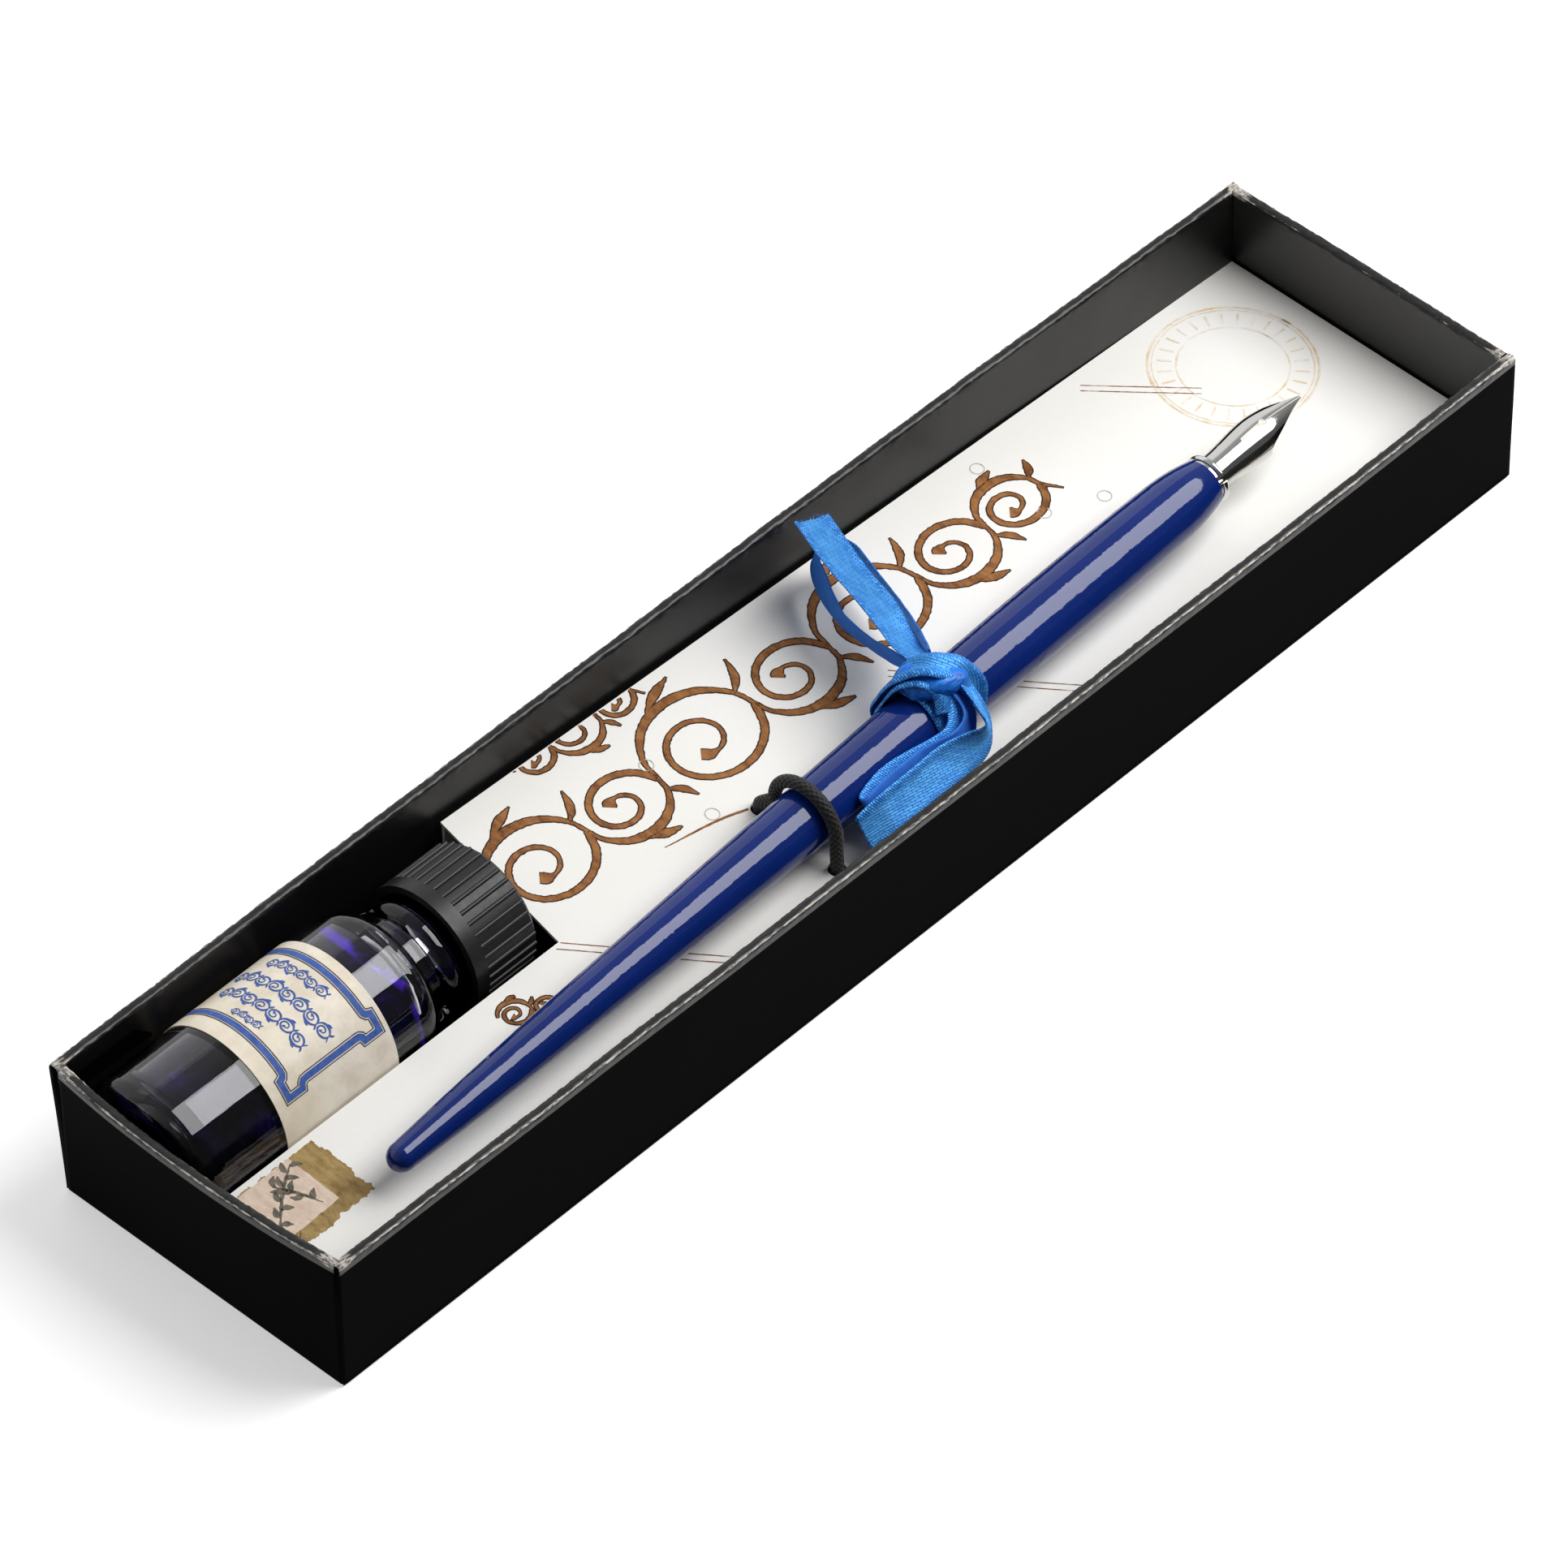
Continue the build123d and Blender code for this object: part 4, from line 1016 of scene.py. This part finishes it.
# Offsets of the inner and outer edge of each printed line from the plaque's outline.
FRAME_LINES = {"label_frame": (-0.4, 0.4), "label_line_inside": (-0.66, -0.54),
               "label_line_outside": (0.54, 0.66)}
# Rows of small vines: x, half the row's length and the length of a half wave.
LABEL_VINES = ((-71.8, 5.6, 1.6), (-75, 8, 2), (-78.2, 7, 2), (-80.7, 2.2, 1.1))


def lay_on_label(x, arc, lift):
    """Point on the label at x and a length along its arc."""
    angle = arc / LABEL_RADIUS
    reach = LABEL_RADIUS + lift
    return (x, BOTTLE_MIDDLE[0] - reach * sin(angle), BOTTLE_MIDDLE[1] + reach * cos(angle))


def plaque_outline():
    """Closed frame whose corners stand out as square ears."""
    half = PLAQUE_CORNER
    corner = half + [(b, a) for a, b in half[-2::-1]]
    outline = []
    for k, (x, arc) in enumerate([(PLAQUE_X[1], PLAQUE_ARC[0]), (PLAQUE_X[1], PLAQUE_ARC[1]),
                                  (PLAQUE_X[0], PLAQUE_ARC[1]), (PLAQUE_X[0], PLAQUE_ARC[0])]):
        in_x = -1 if x == PLAQUE_X[1] else 1
        in_arc = -1 if arc == PLAQUE_ARC[1] else 1
        outline += [(x + in_x * a, arc + in_arc * b) for a, b in (corner if k % 2 else corner[::-1])]
    return [spot[:2] for spot in dense_outline(outline, PLAQUE_STEP)]


def widened(outline, amount):
    """Closed outline moved out by amount, with mitred corners."""
    moved = []
    for before, here, after in zip(outline[-1:] + outline[:-1], outline, outline[1:] + outline[:1]):
        into = (Vector(here) - Vector(before)).normalized()
        out = (Vector(after) - Vector(here)).normalized()
        mitre = (into + out).normalized()
        reach = amount / max(0.5, mitre.dot(into))
        moved.append((here[0] + reach * mitre.y, here[1] - reach * mitre.x))
    return moved


def make_frame_line(name, inner, outer, material):
    """Closed printed line between two offsets of the plaque's outline."""
    outline = plaque_outline()
    edges = widened(outline, inner) + widened(outline, outer)
    points = [lay_on_label(x, arc, LABEL_LIFT) for x, arc in edges]
    count = len(outline)
    faces = [(k, (k + 1) % count, count + (k + 1) % count, count + k) for k in range(count)]
    make_piece(name, points, faces, material, "bottle", smooth=False)


def make_label_print():
    """Blue frame between two thin dark lines, with rows of small vines where such a label has its words."""
    for name, (inner, outer) in FRAME_LINES.items():
        make_frame_line(name, inner, outer, label_blue if name == "label_frame" else label_dark)
    rows = []
    middle = (PLAQUE_ARC[0] + PLAQUE_ARC[1]) / 2 + 1
    for x, reach, size in LABEL_VINES:
        rows += vine(x, middle - reach, pi / 2, [size] * int(2 * reach / size), 0.16 * size)
    make_print("label_vines", rows, label_blue, LABEL_LIFT, ripple=0.02, lay=lay_on_label, body="bottle",
               slot="label_paper")


make_label_print()


# ---- materials on CAD nodes

CAD_MATERIALS = (
    # The tray floor and corner tabs also take the darker board copy, painted shade.
    (board_painted_shade, "tray_floor corner_tab_tail_bottle corner_tab_tail_pen"),
    (board_painted_shade, "corner_tab_nib_bottle corner_tab_nib_pen"),
    (card, "insert_card insert_leg_pen_side insert_leg_bottle_side insert_leg_nib_end"),
    (barb_plastic, "elastic_barb_far elastic_barb_near"), (glass, "bottle_glass"), (bottle_ink, "ink"),
    (paper, "bottle_label"), (cap_black, "bottle_cap"), (foam, "cap_liner"), (lacquer, "pen_holder"),
    (plated, "ferrule_sleeve ferrule_prongs"), (polished, "nib"), (satin_bunched, "ribbon_knot"))

for material, names in CAD_MATERIALS:
    for name in names.split():
        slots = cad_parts[name].data.materials
        slots.clear()
        slots.append(material)


# ---- camera, lights and stage

CAMERA_AZIMUTH = 0.791881604  # radians from +Y towards +X
CAMERA_ELEVATION = 0.797944653
CAMERA_ROLL = -0.0272095642
CAMERA_DISTANCE = 1.53262567
CAMERA_SHIFT = (-0.00251198973, 0.00458221217)  # metres to the right and up
FOCAL_PIXELS = 16000
IMAGE_PIXELS = 1932
SENSOR = 36


def make_camera():
    """Camera that was fitted to the photo."""
    right = Vector((cos(CAMERA_AZIMUTH), -sin(CAMERA_AZIMUTH), 0))
    ahead = Vector((sin(CAMERA_AZIMUTH), cos(CAMERA_AZIMUTH), 0))
    forward = cos(CAMERA_ELEVATION) * ahead - sin(CAMERA_ELEVATION) * Vector((0, 0, 1))
    up = sin(CAMERA_ELEVATION) * ahead + cos(CAMERA_ELEVATION) * Vector((0, 0, 1))
    across = cos(CAMERA_ROLL) * right + sin(CAMERA_ROLL) * up
    upward = -sin(CAMERA_ROLL) * right + cos(CAMERA_ROLL) * up
    data = bpy.data.cameras.new("camera")
    data.sensor_width = SENSOR
    data.lens = FOCAL_PIXELS / IMAGE_PIXELS * SENSOR
    where = -forward * CAMERA_DISTANCE + right * CAMERA_SHIFT[0] + up * CAMERA_SHIFT[1]
    bpy.context.scene.camera = put("camera", data, where, (across, upward, -forward))


KEY_DIRECTION = (0.535, -0.323, 0.779)  # from the box towards the lamp
KEY_TARGET = Vector((0, 0, 0.01))
KEY_DISTANCE = 0.6
KEY_SIZE = (0.52, 0.42)
KEY_POWER = 4.2
FLOOR_HALF = 3
FLOOR_DOWN = 0.0002  # keeps the floor clear of the tray's underside
FLOOR_GLOW = 0.42


def make_key_light():
    """Soft box that faces the set, its first side lying along X."""
    data = bpy.data.lights.new("key_softbox", "AREA")
    data.shape = "RECTANGLE"
    data.size, data.size_y = KEY_SIZE
    data.energy = KEY_POWER
    back = Vector(KEY_DIRECTION).normalized()
    side = (Vector((1, 0, 0)) - back * back.x).normalized()
    put("key_softbox", data, KEY_TARGET + back * KEY_DISTANCE, (side, back.cross(side), back))


def seen_directly(tree):
    """1 for camera, glossy and transmission rays."""
    path = add(tree, "LightPath").outputs
    most = math(tree, "MAXIMUM", path["Is Camera Ray"], path["Is Glossy Ray"])
    return math(tree, "MAXIMUM", most, path["Is Transmission Ray"])


def make_stage():
    """White floor that glows a little where it is seen."""
    mesh = bpy.data.meshes.new("floor")
    corners = ((-1, -1), (1, -1), (1, 1), (-1, 1))
    mesh.from_pydata([(FLOOR_HALF * x, FLOOR_HALF * y, -FLOOR_DOWN) for x, y in corners], [], [(0, 1, 2, 3)])
    material, tree = new_material("white_floor")
    shade(material, Base_Color=(0.86, 0.86, 0.86), Roughness=0.9, Specular_IOR_Level=0.1,
          Emission_Color=(1, 1, 1), Emission_Strength=times(tree, seen_directly(tree), FLOOR_GLOW))
    mesh.materials.append(material)
    floor = put("floor", mesh)


def make_world():
    """White to the camera. Reflections see a pale backdrop low on the far side and a dim room elsewhere."""
    world = bpy.data.worlds.new("studio")
    bpy.context.scene.world = world
    world.use_nodes = True
    tree = world.node_tree
    background = tree.nodes["Background"]
    ray = add(tree, "TexCoord").outputs["Generated"]
    parts = add(tree, "SeparateXYZ", {"Vector": ray}).outputs
    far_side = math(tree, "ADD", times(tree, parts["Y"], 0.9), times(tree, parts["X"], 0.1))
    backdrop = times(tree, spread(tree, far_side, 0.3, 0.55), 0.95)
    room = spread(tree, parts["Y"], -0.5, 0.3, 0.1, 0.42)
    level = math(tree, "MAXIMUM", backdrop, room)
    camera_ray = add(tree, "LightPath").outputs["Is Camera Ray"]
    colour = mix(tree, camera_ray, level, (1, 1, 1))
    tree.links.new(colour, background.inputs["Color"])
    background.inputs["Strength"].default_value = 1


make_camera()
make_stage()
make_world()
make_key_light()
bpy.context.scene.view_settings.view_transform = "Standard"
